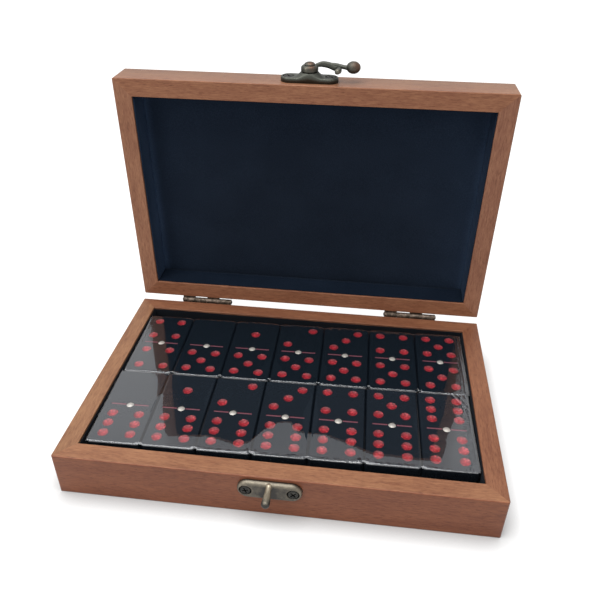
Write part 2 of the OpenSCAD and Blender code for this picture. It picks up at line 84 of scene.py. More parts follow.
case = {
    "innerWide": nodeSize("base_floor_velvet")[0],
    "innerDeep": nodeSize("base_floor_velvet")[1],
    "baseHigh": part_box("base_front_rail")[1].z,
    "seam": 0.4 * mm,
    "lidHigh": 18 * mm,
    "panelThick": 2.5 * mm,
    "pin": np.array(joints["lid_hinge"]["pos_m"]),
    "openAngle": math.radians(-joints["lid_hinge"]["range_deg"][0]),
}
case["lidRim"] = case["baseHigh"] + case["seam"]

pack = {
    "skew": math.radians(1.1),
    "pitch": 25.3 * mm,       # from one domino to the next
    "wide": 177.4 * mm,
    "deep": 50.0 * mm,
    "high": nodeSize("wrap_front")[2],
    "floor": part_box("wrap_front")[0].z,
    "skin": 0.2 * mm,         # film and air below the dominoes
    "dominoThick": 9.5 * mm,
}


def opened(points):
    # turns points of the shut lid about the hinge pins to where the lid stands open
    c, s = math.cos(case["openAngle"]), math.sin(case["openAngle"])
    y = points[..., 1] - case["pin"][1]
    z = points[..., 2] - case["pin"][2]
    turned = np.stack([points[..., 0], c * y + s * z, c * z - s * y], axis=-1)
    turned[..., 1:] += case["pin"][1:]
    return turned


# mesh helpers

def meshObject(name, points, faces, material, body, smooth=True, layers=None):
    mesh = bpy.data.meshes.new(name)
    mesh.from_pydata(np.asarray(points).reshape(-1, 3).tolist(), [], faces)
    mesh.polygons.foreach_set("use_smooth", [smooth] * len(mesh.polygons))
    for label, values in (layers or {}).items():
        attribute = mesh.attributes.new(label, "FLOAT", "POINT")
        attribute.data.foreach_set("value", np.asarray(values, np.float32).ravel())
    mesh.materials.append(material)
    mesh.update()
    piece = bpy.data.objects.new(name, mesh)
    bpy.context.scene.collection.objects.link(piece)
    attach(piece, body)
    return piece


def gridFaces(rows, columns, wrapRows=False, wrapColumns=False):
    # quads between neighbouring points of a rows x columns grid, turned so they face along
    # the cross product of the row step and the column step
    r = np.arange(rows if wrapRows else rows - 1)
    c = np.arange(columns if wrapColumns else columns - 1)
    r, c = np.meshgrid(r, c, indexing="ij")
    r2, c2 = (r + 1) % rows, (c + 1) % columns
    quads = np.stack([r * columns + c, r2 * columns + c, r2 * columns + c2, r * columns + c2], -1)
    return quads.reshape(-1, 4).tolist()


def outward(points, faces):
    # the faces of a closed shell, turned if need be so that their normals point out of it
    points = np.asarray(points).reshape(-1, 3)
    corners = np.array([(f[0], f[k], f[k + 1]) for f in faces for k in range(1, len(f) - 1)])
    a, b, c = (points[corners[:, k]] - points.mean(0) for k in range(3))
    if np.einsum("ij,ij->", a, np.cross(b, c)) < 0:
        return [face[::-1] for face in faces]
    return faces


def tubeFaces(rows, columns):
    # a grid that closes round its columns, with one flat face at each end
    first = list(range(columns))
    last = [(rows - 1) * columns + c for c in range(columns)][::-1]
    return gridFaces(rows, columns, wrapColumns=True) + [first, last]


def slabFaces(rows, columns):
    # a grid, a copy of it below and the skirt between the two
    count = rows * columns
    faces = gridFaces(rows, columns)
    under = [[corner + count for corner in face[::-1]] for face in faces]
    rim = np.concatenate([np.arange(columns), np.arange(1, rows) * columns + columns - 1,
                          (rows - 1) * columns + np.arange(columns - 2, -1, -1),
                          np.arange(rows - 2, 0, -1) * columns])
    after = np.roll(rim, -1)
    return faces + under + np.stack([rim, after, after + count, rim + count], -1).tolist()


def joinShells(shells):
    # one list of points, faces and wear from several closed shells
    points, faces, worn, count = [], [], [], 0
    for shell, shellFaces, shellWorn in shells:
        shell = shell.reshape(-1, 3)
        faces += [[corner + count for corner in face] for face in outward(shell, shellFaces)]
        points.append(shell)
        worn.append(np.broadcast_to(shellWorn, len(shell)) if np.ndim(shellWorn) == 0
                    else np.asarray(shellWorn).ravel())
        count += len(shell)
    return np.concatenate(points), faces, np.concatenate(worn)


def waves(x, y, seed, count, longest, shortest):
    # a soft random surface: sines of random directions, lengths and phases, about -1 to 1
    rng = np.random.default_rng(seed)
    total = np.zeros(np.broadcast(x, y).shape)
    for k in range(count):
        length = longest * (shortest / longest) ** (k / max(count - 1, 1))
        angle = rng.uniform(0, 2 * math.pi)
        phase = rng.uniform(0, 2 * math.pi)
        along = (x * math.cos(angle) + y * math.sin(angle)) * 2 * math.pi / length
        total = total + np.sin(along + phase)
    return total / math.sqrt(count)


def crowded(count):
    # from -1 to 1 by a sine, closest together at both ends
    return np.sin(np.linspace(-math.pi / 2, math.pi / 2, count))


def bell(away, wide):
    # 1 at no distance, falling off as e^(-(away / wide)^2)
    return np.exp(-(away / wide) ** 2)


def ramp(value, start, length):
    # 0 up to start and 1 from start + length on
    return np.clip((value - start) / length, 0, 1)


def atLeast(least, share):
    # a share of 0 to 1 laid between least and 1
    return least + (1 - least) * share


def smoothStep(t):
    # 0 to 1 with level ends: t^2 * (3 - 2 t)
    return t ** 2 * (3 - 2 * t)


# shader helpers

def feed(tree, node, inputs):
    # links what is a socket, and sets anything else on the input itself
    for key, value in inputs.items():
        if isinstance(value, bpy.types.NodeSocket):
            tree.links.new(value, node.inputs[key])
        else:
            node.inputs[key].default_value = value


def addNode(tree, kind, inputs=None, **settings):
    node = tree.nodes.new("ShaderNode" + kind)
    for key, value in settings.items():
        setattr(node, key, value)
    feed(tree, node, inputs or {})
    return node


def mapRange(tree, value, low, high, toLow=0.0, toHigh=1.0):
    return addNode(tree, "MapRange", {"Value": value, "From Min": low, "From Max": high,
                                      "To Min": toLow, "To Max": toHigh}).outputs["Result"]


def math2(tree, operation, a, b=0.0, clamp=False):
    return addNode(tree, "Math", {0: a, 1: b}, operation=operation, use_clamp=clamp).outputs[0]


def mixColour(tree, factor, a, b, blend="MIX"):
    ends = {key: value if isinstance(value, bpy.types.NodeSocket) else (*value, 1)
            for key, value in ((6, a), (7, b))}
    return addNode(tree, "Mix", {0: factor, **ends}, data_type="RGBA", blend_type=blend).outputs[2]


def noise(tree, vector, scale, detail, **more):
    return addNode(tree, "TexNoise", {"Vector": vector, "Scale": scale, "Detail": detail,
                                      **more}).outputs["Fac"]


def meshLayer(tree, label):
    return addNode(tree, "Attribute", attribute_name=label).outputs["Fac"]


def newGroup(name, inputs, outputs):
    # an input is a number, a colour, or None for a vector; only an output called Color is one
    group = bpy.data.node_groups.new(name, "ShaderNodeTree")
    for label, value in inputs.items():
        kind = "Vector" if value is None else "Float" if isinstance(value, float) else "Color"
        socket = group.interface.new_socket(label, in_out="INPUT", socket_type="NodeSocket" + kind)
        if value is not None:
            socket.default_value = value
    for label in outputs:
        kind = "Color" if label == "Color" else "Float"
        group.interface.new_socket(label, in_out="OUTPUT", socket_type="NodeSocket" + kind)
    inside, out = group.nodes.new("NodeGroupInput"), group.nodes.new("NodeGroupOutput")
    return group, inside.outputs, out


def newMaterial(name):
    material = bpy.data.materials.new(name)
    material.use_nodes = True
    tree = material.node_tree
    return material, tree, tree.nodes["Principled BSDF"]


def objectCoords(tree):
    return addNode(tree, "TexCoord").outputs["Object"]


def useGroup(tree, group, inputs):
    return addNode(tree, "Group", inputs, node_tree=group).outputs


def bumpFrom(tree, height, distance, strength=1.0, normal=None):
    under = {"Normal": normal} if normal else {}
    return addNode(tree, "Bump", {"Height": height, "Distance": distance, "Strength": strength,
                                  **under}).outputs["Normal"]


# wood: straight grain, pores and slow changes of tone

wood = {
    "pale": np.array((0.350, 0.160, 0.082)),
    "deep": np.array((0.185, 0.067, 0.034)),
    "poreTint": (0.35, 0.22, 0.18), "poreShare": 0.45,
    "rough": (0.38, 0.5),
    "grainDepth": 0.02 * mm,
    "specular": 0.3,
    "sawnFade": (0.6 * mm, 0.1 * mm),     # below the shaded face, where its painted shade begins and is full
    # stretched noises: scale along and across the grain, detail, roughness
    "drift": (24, 70, 2, 0.6),            # clouds of paler and deeper wood
    "bands": (30, 330, 3, 0.6),           # growth bands a few millimetres apart
    "fibre": (190, 1500, 4, 0.75),        # streaks
    "pores": (330, 2600, 2, 0.5),
    # the stretch of each noise that counts, and what it adds to the tone
    "driftTone": (0.3, 0.7, -0.18, 0.18), "bandsTone": (0.25, 0.75, 0.32, 0.68),
    "fibreTone": (0.3, 0.7, -0.42, 0.42), "pit": (0.56, 0.68), "fibreRough": (0.2, 0.8),
}


def buildGrainGroup():
    # grain runs along x of the vector it is given; lengths are in metres
    group, inside, out = newGroup(
        "straightGrain",
        {"Vector": None, "Pale": (0.5, 0.28, 0.16, 1), "Deep": (0.25, 0.1, 0.06, 1), "Figure": 1.0},
        ("Color", "Roughness", "Height"))

    def grainNoise(along, across, detail, rough):
        stretched = addNode(group, "Mapping", {"Vector": inside["Vector"],
                                               "Scale": (along, across, across)}).outputs[0]
        return noise(group, stretched, 1.0, detail, Roughness=rough)

    drift, bands, fibre, pores = (grainNoise(*wood[layer])
                                  for layer in ("drift", "bands", "fibre", "pores"))
    tone = math2(group, "ADD", mapRange(group, drift, *wood["driftTone"]),
                 mapRange(group, bands, *wood["bandsTone"]))
    tone = math2(group, "ADD", tone, mapRange(group, fibre, *wood["fibreTone"]))
    tone = math2(group, "MULTIPLY", math2(group, "SUBTRACT", tone, 0.5), inside["Figure"])
    tone = math2(group, "ADD", tone, 0.5, clamp=True)
    pit = mapRange(group, pores, *wood["pit"])
    feed(group, out, {
        "Color": mixColour(group, math2(group, "MULTIPLY", pit, wood["poreShare"]),
                           mixColour(group, tone, inside["Deep"], inside["Pale"]),
                           wood["poreTint"], "MULTIPLY"),
        "Roughness": mapRange(group, fibre, *wood["fibreRough"], *wood["rough"]),
        "Height": math2(group, "SUBTRACT", math2(group, "MULTIPLY", fibre, 0.5), pit)})
    return group


grainGroup = buildGrainGroup()


def makeWood(name, turn, offset, tone, side=None):
    # turn brings the grain from x to the rail's own direction; side is the axis, the place, the
    # way inward and the tint of one outer face: painted shade that darkens that face
    material, tree, shader = newMaterial(name)
    coords = objectCoords(tree)
    mapped = addNode(tree, "Mapping", {"Vector": coords, "Rotation": turn, "Location": offset})
    grain = useGroup(tree, grainGroup, {"Vector": mapped.outputs[0],
                                        "Pale": (*(wood["pale"] * tone), 1),
                                        "Deep": (*(wood["deep"] * tone), 1)})
    colour = grain["Color"]
    if side:
        axis, place, inward, tint = side
        depth = addNode(tree, "SeparateXYZ", {0: coords}).outputs[axis]
        share = mapRange(tree, depth, *(place + inward * fade for fade in wood["sawnFade"]))
        colour = mixColour(tree, share, colour, mixColour(tree, 1.0, colour, tint, "MULTIPLY"))
    feed(tree, shader, {"Base Color": colour, "Roughness": grain["Roughness"],
                        "Normal": bumpFrom(tree, grain["Height"], wood["grainDepth"]),
                        "Specular IOR Level": wood["specular"]})
    return material


quarter = math.pi / 2
rails = {
    # turn of the grain, place in the board it was cut from, tone beside the mean
    "base_front_rail": ((0, 0, 0), (0.1, 0.02, 0), (1.05, 1.08, 1.05)),
    # the back rail's darker tone is painted shade, for the shade of the open lid over it
    "base_back_rail": ((0, 0, 0), (0.7, 0.3, 0.1), (0.84, 0.80, 0.80)),
    "base_left_rail": ((0, 0, quarter), (0.2, 0.5, 0.4), (1.0, 1.12, 1.10)),
    "base_right_rail": ((0, 0, quarter), (1.1, 0.9, 0.2), (0.84, 0.78, 0.76)),
    "base_bottom_panel": ((0, 0, 0), (1.7, 0.4, 0.9), (1, 1, 1)),
    "lid_front_rail": ((0, 0, 0), (2.3, 0.1, 0.6), (1.30, 1.30, 1.32)),
    "lid_back_rail": ((0, 0, 0), (2.9, 0.8, 0.3), (1.04, 1.01, 1.01)),
    "lid_left_rail": ((0, quarter, 0), (0.3, 1.4, 0.2), (1.25, 1.30, 1.40)),
    "lid_right_rail": ((0, quarter, 0), (0.9, 1.9, 0.7), (1.18, 1.22, 1.38)),
    "lid_top_panel": ((0, 0, 0), (3.4, 0.2, 1.2), (1, 1, 1)),
}
# painted shade: the front face of the base and the up-facing face of the open lid's front rail are
# tinted darker
shadedFaces = {
    "base_front_rail": ("Y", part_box("base_front_rail")[0].y, 1, (0.92, 0.72, 0.70)),
    "lid_front_rail": ("Z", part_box("lid_front_rail")[1].z, -1, (0.60, 0.68, 0.72)),
}
for name, (turn, offset, tone) in rails.items():
    nodes[name].data.materials[0] = makeWood(name + "_wood", turn, offset, np.array(tone),
                                             shadedFaces.get(name))
print("wood done")


# velvet: short nap, slow changes where it lies another way, and painted light near the walls

velvetLook = {
    "nap": 0.15 * mm, "napStrength": 0.6,
    "rough": 0.95, "sheenRough": 0.45, "sheenTint": (0.5, 0.62, 0.8, 1),
    # noise scales, the stretch of each noise that counts, and how much of the nap it turns paler
    "slowScale": 38.0, "slowLie": (0.35, 0.7, 0.05, 0.38),
    "napScale": 1900.0, "napLie": (0.35, 0.75, 0, 0.55),
}


def buildNapGroup():
    group, inside, out = newGroup(
        "velvetNap",
        {"Vector": None, "Base": (0.01, 0.015, 0.02, 1), "Brushed": (0.03, 0.04, 0.05, 1)},
        ("Color", "Height"))
    slow = noise(group, inside["Vector"], velvetLook["slowScale"], 2.0)
    nap = noise(group, inside["Vector"], velvetLook["napScale"], 3.0)
    lie = math2(group, "ADD", mapRange(group, slow, *velvetLook["slowLie"]),
                mapRange(group, nap, *velvetLook["napLie"]))
    feed(group, out, {"Color": mixColour(group, lie, inside["Base"], inside["Brushed"]),
                      "Height": nap})
    return group


napGroup = buildNapGroup()


def makeVelvet(name, base, brushedAndPaintedLight, sheen, specular=0.15):
    # the mesh layer gives how much paler the velvet is drawn: painted light that lifts the shade near
    # walls and corners
    material, tree, shader = newMaterial(name)
    nap = useGroup(tree, napGroup, {"Vector": objectCoords(tree), "Base": (*base, 1),
                                    "Brushed": (*brushedAndPaintedLight, 1)})
    paler = addNode(tree, "VectorMath", {0: nap["Color"], "Scale": meshLayer(tree, "lie")},
                    operation="SCALE")
    feed(tree, shader, {
        "Base Color": paler.outputs[0],
        "Normal": bumpFrom(tree, nap["Height"], velvetLook["nap"], velvetLook["napStrength"]),
        "Roughness": velvetLook["rough"], "Specular IOR Level": specular, "Sheen Weight": sheen,
        "Sheen Roughness": velvetLook["sheenRough"], "Sheen Tint": velvetLook["sheenTint"]})
    return material


velvet = {
    "pad": makeVelvet("pad_velvet", (0.0056, 0.0101, 0.0192), (0.0120, 0.0197, 0.0346), 0.035),
    "wall": makeVelvet("wall_velvet", (0.003, 0.004, 0.006), (0.008, 0.010, 0.014), 0.03),
    "lidWall": makeVelvet("lid_wall_velvet", (0.0058, 0.0105, 0.0200), (0.0125, 0.0205, 0.0360),
                          0.02, 0.04),
}

pad = {
    "thick": 1.0 * mm,
    "edge": 1.6 * mm, "crown": 0.2,       # the rolled edge: its width, and share of the height
    "softness": 0.25 * mm,
    "waves": (7, 90 * mm, 22 * mm), "waveShare": 0.3,     # how many, longest, shortest
    "steps": (150, 100), "lidSeed": 11, "floorSeed": 12,
    "fade": 20 * mm, "fringe": 3 * mm,    # how far the painted light reaches from a wall
    "lidBrushed": ((0.95, 2.3), (1.25, 0.7), (1.2, 1.0)),
    "floorBrushed": ((0, 0), (0, 0), (0, 0)),
}


def feltSlab(name, place, material, body, nodeName, low, thick, faceUp, seed, brushedAndPaintedLight):
    # a slab whose free face is h(x, y) = (thick - softness) * (1 - crown * e^(-d / edge)) plus soft
    # waves, where d is the distance from the nearest wall; the other face is flat. Along the left,
    # right and front walls the velvet is painted paler, painted light against the shade there: by
    # the first number of each pair fading out slowly, by the second close to the wall
    wide, deep = case["innerWide"], case["innerDeep"]
    u, v = (0.5 * crowded(count) for count in pad["steps"])
    x, y = np.meshgrid(u * wide, v * deep, indexing="ij")
    wallAway = np.minimum(wide / 2 - np.abs(x), deep / 2 - np.abs(y))
    rise = 1 - np.exp(-wallAway / pad["edge"])
    soft = pad["softness"] * waves(x, y, seed, *pad["waves"]) * pad["waveShare"]
    h = (thick - pad["softness"]) * (1 - pad["crown"] + pad["crown"] * rise) + soft * rise
    free = low + h if faceUp else low + thick - h
    flat = np.full_like(x, low if faceUp else low + thick)
    points = place(np.stack([np.stack([x, y, free], -1), np.stack([x, y, flat], -1)]))
    # painted light: the velvet is drawn paler near the walls, against the shade there
    lie = np.ones(x.shape)
    for (broad, narrow), away in zip(brushedAndPaintedLight, (x + wide / 2, wide / 2 - x, y + deep / 2)):
        lie += broad * np.exp(-away / pad["fade"])
        lie *= 1 + narrow * bell(away, pad["fringe"])
    piece = meshObject(name, points, outward(points, slabFaces(*x.shape)), material, body,
                       layers={"lie": np.stack([lie, lie])})
    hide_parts(nodeName)
    return piece


def asItIs(points):
    return points


lidInside = case["lidRim"] + case["lidHigh"] - case["panelThick"]     # under the shut lid's panel
lidPad = feltSlab("velvet_pad", opened, velvet["pad"], "lid", "lid_velvet_pad",
                  lidInside - pad["thick"], pad["thick"], False, pad["lidSeed"],
                  pad["lidBrushed"])
floorFelt = feltSlab("velvet_floor", asItIs, velvet["wall"], "base", "base_floor_velvet",
                     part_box("base_floor_velvet")[0].z, nodeSize("base_floor_velvet")[2], True,
                     pad["floorSeed"], pad["floorBrushed"])

strip = {
    "thick": 0.6 * mm, "drop": 0.8 * mm,                # its top lies this far under the rim
    "wave": 0.08 * mm, "waves": (6, 60 * mm, 9 * mm),     # how deep, how many, longest, shortest
    "faceFrom": 0.3, "faceWave": 0.5,         # share of the thickness that waves, and how much
    "cornerGap": 0.4 * mm,
    "foot": 2.2 * mm, "footShare": 0.35,      # how high the foot is, and the share of its painted light left at its top
    "steps": 160, "baseSeed": 21, "lidSeed": 31,
    # for the front, right, back and left strip: painted light, how pale, and how much paler at the foot
    "baseBrushed": ((2, 0), (1, 0), (1, 0), (1, 0)),
    "lidBrushed": ((0.85, 0.6), (1.8, 2.0), (1.6, 0.6), (3.4, 2.0)),
}


def wallStrips(name, place, material, body, nodeName, low, high, seed, brushedAndPaintedLight):
    # four strips (front, right, back, left), each a closed profile carried along a wall: flat at
    # the back, round at the free edge, its face waving by d(s) = wave * soft sines
    t, foot = strip["thick"], low + strip["foot"]
    arc = np.linspace(0, math.pi, 9)
    rounded = np.stack([t / 2 + t / 2 * np.cos(arc), high - t / 2 + t / 2 * np.sin(arc)], 1)
    profile = np.concatenate([[[0, low], [t, low], [t, foot]], rounded])
    out, up = profile[None, :, 0], profile[None, :, 1]
    toFoot = np.interp(up, [low, foot, high], [1, strip["footShare"], 0])
    half = (case["innerWide"] / 2, case["innerDeep"] / 2)
    shells = []
    for k, (pale, footPale) in enumerate(brushedAndPaintedLight):
        across = k % 2
        length = 2 * half[across] - (2 * t + strip["cornerGap"]) * across
        s = np.linspace(-length / 2, length / 2, strip["steps"])
        bulge = strip["wave"] * waves(s, 0 * s, seed + k, *strip["waves"])[:, None]
        inward = np.where(out > strip["faceFrom"] * t, bulge * strip["faceWave"], 0)
        away = np.minimum(half[1 - across] - out + inward, half[1 - across])
        top = np.where(up > (low + high) / 2, bulge, 0) - strip["wave"]
        z = np.maximum(up + np.where(up > low, top, 0), low)
        sign = 1 if k < 2 else -1
        along = np.broadcast_to(s[:, None], away.shape)
        flatways = [away * sign, along * sign] if across else [along * sign, -away * sign]
        grid = np.stack([*flatways, z], -1)
        # painted light: each strip is drawn paler by its own share, and more at its foot
        lie = np.broadcast_to(pale * (1 + footPale * toFoot), away.shape)
        shells.append((place(grid), tubeFaces(*away.shape), lie))
    points, faces, lie = joinShells(shells)
    piece = meshObject(name, points, faces, material, body, layers={"lie": lie})
    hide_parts(nodeName)
    return piece


def upsideDown(points):
    # the lid's strips are drawn rim up, then turned over onto the shut lid, so the first strip
    # lies along the hinges
    flipped = points * np.array([1, -1, -1])
    flipped[..., 2] += case["lidRim"] + lidInside - pad["thick"]
    return opened(flipped)


baseWalls = wallStrips("velvet_walls_base", asItIs, velvet["wall"], "base", "base_wall_velvet",
                       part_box("base_wall_velvet")[0].z, case["baseHigh"] - strip["drop"],
                       strip["baseSeed"], strip["baseBrushed"])
lidWalls = wallStrips("velvet_walls_lid", upsideDown, velvet["lidWall"], "lid", "lid_wall_velvet",
                      case["lidRim"], lidInside - pad["thick"] - strip["drop"],
                      strip["lidSeed"], strip["lidBrushed"])
print("velvet done")


# dominoes: polished black, red paint in every recess of the face

dominoFace = {
    "cut": (10.2 * mm, 22.4 * mm),        # pips and bar lie within this of a domino's middle
    "paint": (0.012 * mm, 0.9 * mm),      # painted between these depths
    "spinner": 2.1 * mm, "bar": 1.0 * mm, "pipDeep": 0.5 * mm,
    "side": 3 * mm,                       # how far down a domino's side its edge is shaded
    "gapLong": 23.6 * mm, "gapFade": (0.02 * mm, 0.3 * mm), "turn": 1.1 * mm,
    "fleck": 1100.0,
}


def buildRecessGroup():
    # what lies cut into the face of a packed domino: pips, bar, or the hole of the spinner. The
    # vector is in the pack's own frame, z from the foot of the lowest dominoes; depth is 0 at the
    # face and 1 at the bottom of a pip; the edge mask, painted shade beside the gaps between
    # dominoes, is 1 where the face has turned down, by turn metres
    group, inside, out = newGroup("paintedRecess", {"Vector": None},
                                  ("Mask", "Depth", "Bar", "Edge", "Turn", "Fleck"))

    def calc(operation, a, b=0.0):
        return math2(group, operation, a, b)

    parts = addNode(group, "SeparateXYZ", {0: inside["Vector"]}).outputs
    half = pack["pitch"] / 2
    x = calc("FLOORED_MODULO", calc("ADD", parts[0], half), pack["pitch"])
    x = calc("ABSOLUTE", calc("SUBTRACT", x, half))
    y = calc("ABSOLUTE", parts[1])
    z = calc("FLOORED_MODULO", parts[2], pack["dominoThick"])
    below = calc("SUBTRACT", pack["dominoThick"], z)
    fromPin = calc("SQRT", calc("ADD", calc("MULTIPLY", x, x), calc("MULTIPLY", y, y)))
    mask = calc("LESS_THAN", x, dominoFace["cut"][0])
    for test in (calc("LESS_THAN", y, dominoFace["cut"][1]),
                 calc("GREATER_THAN", below, dominoFace["paint"][0]),
                 calc("LESS_THAN", below, dominoFace["paint"][1]),
                 calc("GREATER_THAN", fromPin, dominoFace["spinner"])):
        mask = calc("MULTIPLY", mask, test)
    outside = calc("MULTIPLY", calc("SUBTRACT", 1.0, mask),
                   calc("LESS_THAN", below, dominoFace["side"]))
    inGap = calc("MULTIPLY", outside, calc("LESS_THAN", y, dominoFace["gapLong"]))
    feed(group, out, {
        "Mask": mask,
        "Depth": mapRange(group, below, 0.0, dominoFace["pipDeep"]),
        "Bar": calc("LESS_THAN", y, dominoFace["bar"]),
        "Edge": calc("MULTIPLY", mapRange(group, below, *dominoFace["gapFade"]), inGap),
        "Turn": calc("MULTIPLY", calc("MINIMUM", below, dominoFace["turn"]), outside),
        "Fleck": noise(group, inside["Vector"], dominoFace["fleck"], 2.0)})
    return group


recessGroup = buildRecessGroup()

ebonite = {
    "black": (0.0055, 0.0090, 0.0135), "scuffed": (0.0085, 0.0130, 0.0180),
    "haze": {"front": (0.007, 0.008, 0.010), "back": (0, 0, 0)},       # dust under the film
    # painted shade and highlight in the pips: rim darkens the paint near a pip's rim, bright is painted
    # glints in the flecks
    "rim": (0.130, 0.006, 0.012), "red": (0.330, 0.0095, 0.020), "bright": (0.60, 0.050, 0.065),
    "bar": (0.22, 0.070, 0.095),
    # painted shade in the gaps between dominoes
    "gap": (0.0024, 0.0038, 0.0056),
    "gloss": 0.12, "paintGloss": 0.46, "paintRough": 0.26 * mm,
    "rimTo": (0.2, 1.0), "flecks": (0.52, 0.68),     # depth of the painted shade at the rim, share of the painted glints
    "ripple": 60.0, "rippleDeep": 0.05 * mm, "rippleStrength": 0.3,
}


def makeDomino(name, middle, haze):
    material, tree, shader = newMaterial(name)
    coords = objectCoords(tree)
    foot = (middle[0], middle[1], pack["floor"] + pack["skin"])
    moved = addNode(tree, "VectorMath", {0: coords, 1: foot}, operation="SUBTRACT")
    square = addNode(tree, "VectorRotate", {"Vector": moved.outputs[0], "Axis": (0, 0, 1),
                                            "Angle": -pack["skew"]})
    recess = useGroup(tree, recessGroup, {"Vector": square.outputs[0]})
    dusty = [tuple(np.add(ebonite[tone], haze)) for tone in ("black", "scuffed")]
    black = mixColour(tree, recess["Fleck"], *dusty)
    # painted shade: the rounded edges beside the gaps between dominoes are darkened to the gap colour
    black = mixColour(tree, recess["Edge"], black, ebonite["gap"])
    # painted shade: darker towards each pip's rim
    red = mixColour(tree, mapRange(tree, recess["Depth"], *ebonite["rimTo"]), ebonite["rim"],
                    ebonite["red"])
    # painted glints: paler flecks of red
    red = mixColour(tree, mapRange(tree, recess["Fleck"], *ebonite["flecks"]), red,
                    ebonite["bright"])
    red = mixColour(tree, recess["Bar"], red, ebonite["bar"])
    # the tight film holds the light off the rounded edges, so they shade like the flat face
    flattened = bumpFrom(tree, recess["Turn"], 1.0)
    polished = bumpFrom(tree, noise(tree, coords, ebonite["ripple"], 2.0), ebonite["rippleDeep"],
                        ebonite["rippleStrength"], flattened)
    lumps = math2(tree, "MULTIPLY", recess["Fleck"], recess["Mask"])
    feed(tree, shader, {
        "Base Color": mixColour(tree, recess["Mask"], black, red),
        "Roughness": mapRange(tree, recess["Mask"], 0, 1, ebonite["gloss"], ebonite["paintGloss"]),
        "Normal": bumpFrom(tree, lumps, ebonite["paintRough"], 1.0, polished)})
    return material


middles = {"front": nodeMiddle("wrap_front"), "back": nodeMiddle("wrap_back")}
for side, middle in middles.items():
    blackAndRed = makeDomino("domino_" + side, middle, ebonite["haze"][side])
    for name in frame["record"]["behaviour"]["bodies"][side + "_pack"]:
        if name.startswith("domino_"):
            nodes[name].data.materials[0] = blackAndRed
print("dominoes done")


# metals

patina = {
    "cloud": 520.0, "cloudTone": (0.3, 0.7, -0.28, 0.28), "bright": (0.25, 0.95),
    "grit": 3500.0, "gritRough": (0.3, 0.7, 0.44, 0.6), "wornSmoother": 0.12,
    "depth": 0.03 * mm, "strength": 0.6,
    "blush": (1.45, 0.84, 0.70),
}


def buildPatinaGroup():
    # dark patina; the bright metal shows in clouds where the wear is high
    group, inside, out = newGroup(
        "patina",
        {"Vector": None, "Dark": (0.1, 0.1, 0.08, 1), "Bright": (0.5, 0.4, 0.3, 1), "Worn": 0.3,
         "Mottle": 1.0},
        ("Color", "Roughness", "Height"))
    cloud = noise(group, inside["Vector"], patina["cloud"], 4.0, Roughness=0.65)
    grit = noise(group, inside["Vector"], patina["grit"], 2.0)
    cloud = math2(group, "MULTIPLY", mapRange(group, cloud, *patina["cloudTone"]), inside["Mottle"])
    worn = mapRange(group, math2(group, "ADD", inside["Worn"], cloud), *patina["bright"])
    feed(group, out, {
        "Color": mixColour(group, worn, inside["Dark"], inside["Bright"]),
        "Roughness": math2(group, "SUBTRACT", mapRange(group, grit, *patina["gritRough"]),
                           math2(group, "MULTIPLY", worn, patina["wornSmoother"])),
        "Height": grit})
    return group


patinaGroup = buildPatinaGroup()


def makeBrass(name, dark, bright, worn=None, metallic=1.0, mottle=1.0):
    # worn is a number; without one the mesh gives the wear, with the catch's painted highlights in it,
    # and the blush of red copper
    material, tree, shader = newMaterial(name)
    amount = meshLayer(tree, "worn") if worn is None else worn
    metal = useGroup(tree, patinaGroup, {"Vector": objectCoords(tree), "Dark": (*dark, 1),
                                         "Bright": (*bright, 1), "Worn": amount, "Mottle": mottle})
    colour = metal["Color"]
    if worn is None:
        coppery = mixColour(tree, 1.0, colour, patina["blush"], "MULTIPLY")
        colour = mixColour(tree, meshLayer(tree, "blush"), colour, coppery)
    feed(tree, shader, {
        "Base Color": colour, "Roughness": metal["Roughness"], "Metallic": metallic,
        "Normal": bumpFrom(tree, metal["Height"], patina["depth"], patina["strength"])})
    return material


castBrass = makeBrass("cast_brass", (0.072, 0.075, 0.064), (0.27, 0.24, 0.18))
catchBrass = makeBrass("catch_brass", (0.050, 0.048, 0.045), (0.41, 0.355, 0.265), mottle=0.3)
screwBrass = makeBrass("screw_brass", (0.035, 0.035, 0.033), (0.14, 0.13, 0.11), 0.25)
hingeBrass = makeBrass("hinge_brass", (0.055, 0.044, 0.034), (0.34, 0.26, 0.21), 0.34)
nickel = makeBrass("spinner_nickel", (0.46, 0.43, 0.39), (0.60, 0.57, 0.53), 0.6, 0.35)
metals = {
    screwBrass: ["catch_screws", "latch_screws", "hinge_base_screws", "hinge_lid_screws",
                 "hinge_left_pin", "hinge_right_pin"],
    hingeBrass: ["hinge_left_base_leaf", "hinge_right_base_leaf",
                 "hinge_left_lid_leaf", "hinge_right_lid_leaf"],
    nickel: ["spinners_front", "spinners_back"],
}
for metal, names in metals.items():
    for name in names:
        nodes[name].data.materials[0] = metal
print("metals done")


# latch and catch: castings with soft edges, bright where hands have rubbed, and with painted highlights
# on the catch's upper edges and peg

fitting = {
    "x": nodeMiddle("catch_plate")[0],
    "front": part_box("base_front_rail")[0].y,
    "catchUp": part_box("catch_plate")[0].z + 4.8 * mm,
    "pivotUp": case["lidRim"] + 8 * mm,
    "long": 28.4 * mm, "tall": 9.6 * mm, "thick": 2.4 * mm,
    "tip": 0.01 * mm,                     # what is left off at each end, where the grid would close
    "screwX": 10.4 * mm, "seat": 2.72 * mm, "seatDeep": 1.4 * mm, "seatEdge": 0.1 * mm,
    "steps": (250, 84),
    # bright along the outline (place and width as shares of the softening) and round the seats
    "edgeWorn": (0.35, 0.45), "seatWorn": (0.5, 0.35 * mm, 0.25 * mm), "seatDark": 0.4,
}


def onBase(points, up=fitting["catchUp"]):
    # x along the plate, y up it and z out of it, on the front of the base
    x, y, z = np.moveaxis(points, -1, 0)
    return np.stack([fitting["x"] + x, fitting["front"] - z, up + y], -1)


def onLid(points):
    return opened(onBase(points, fitting["pivotUp"]))


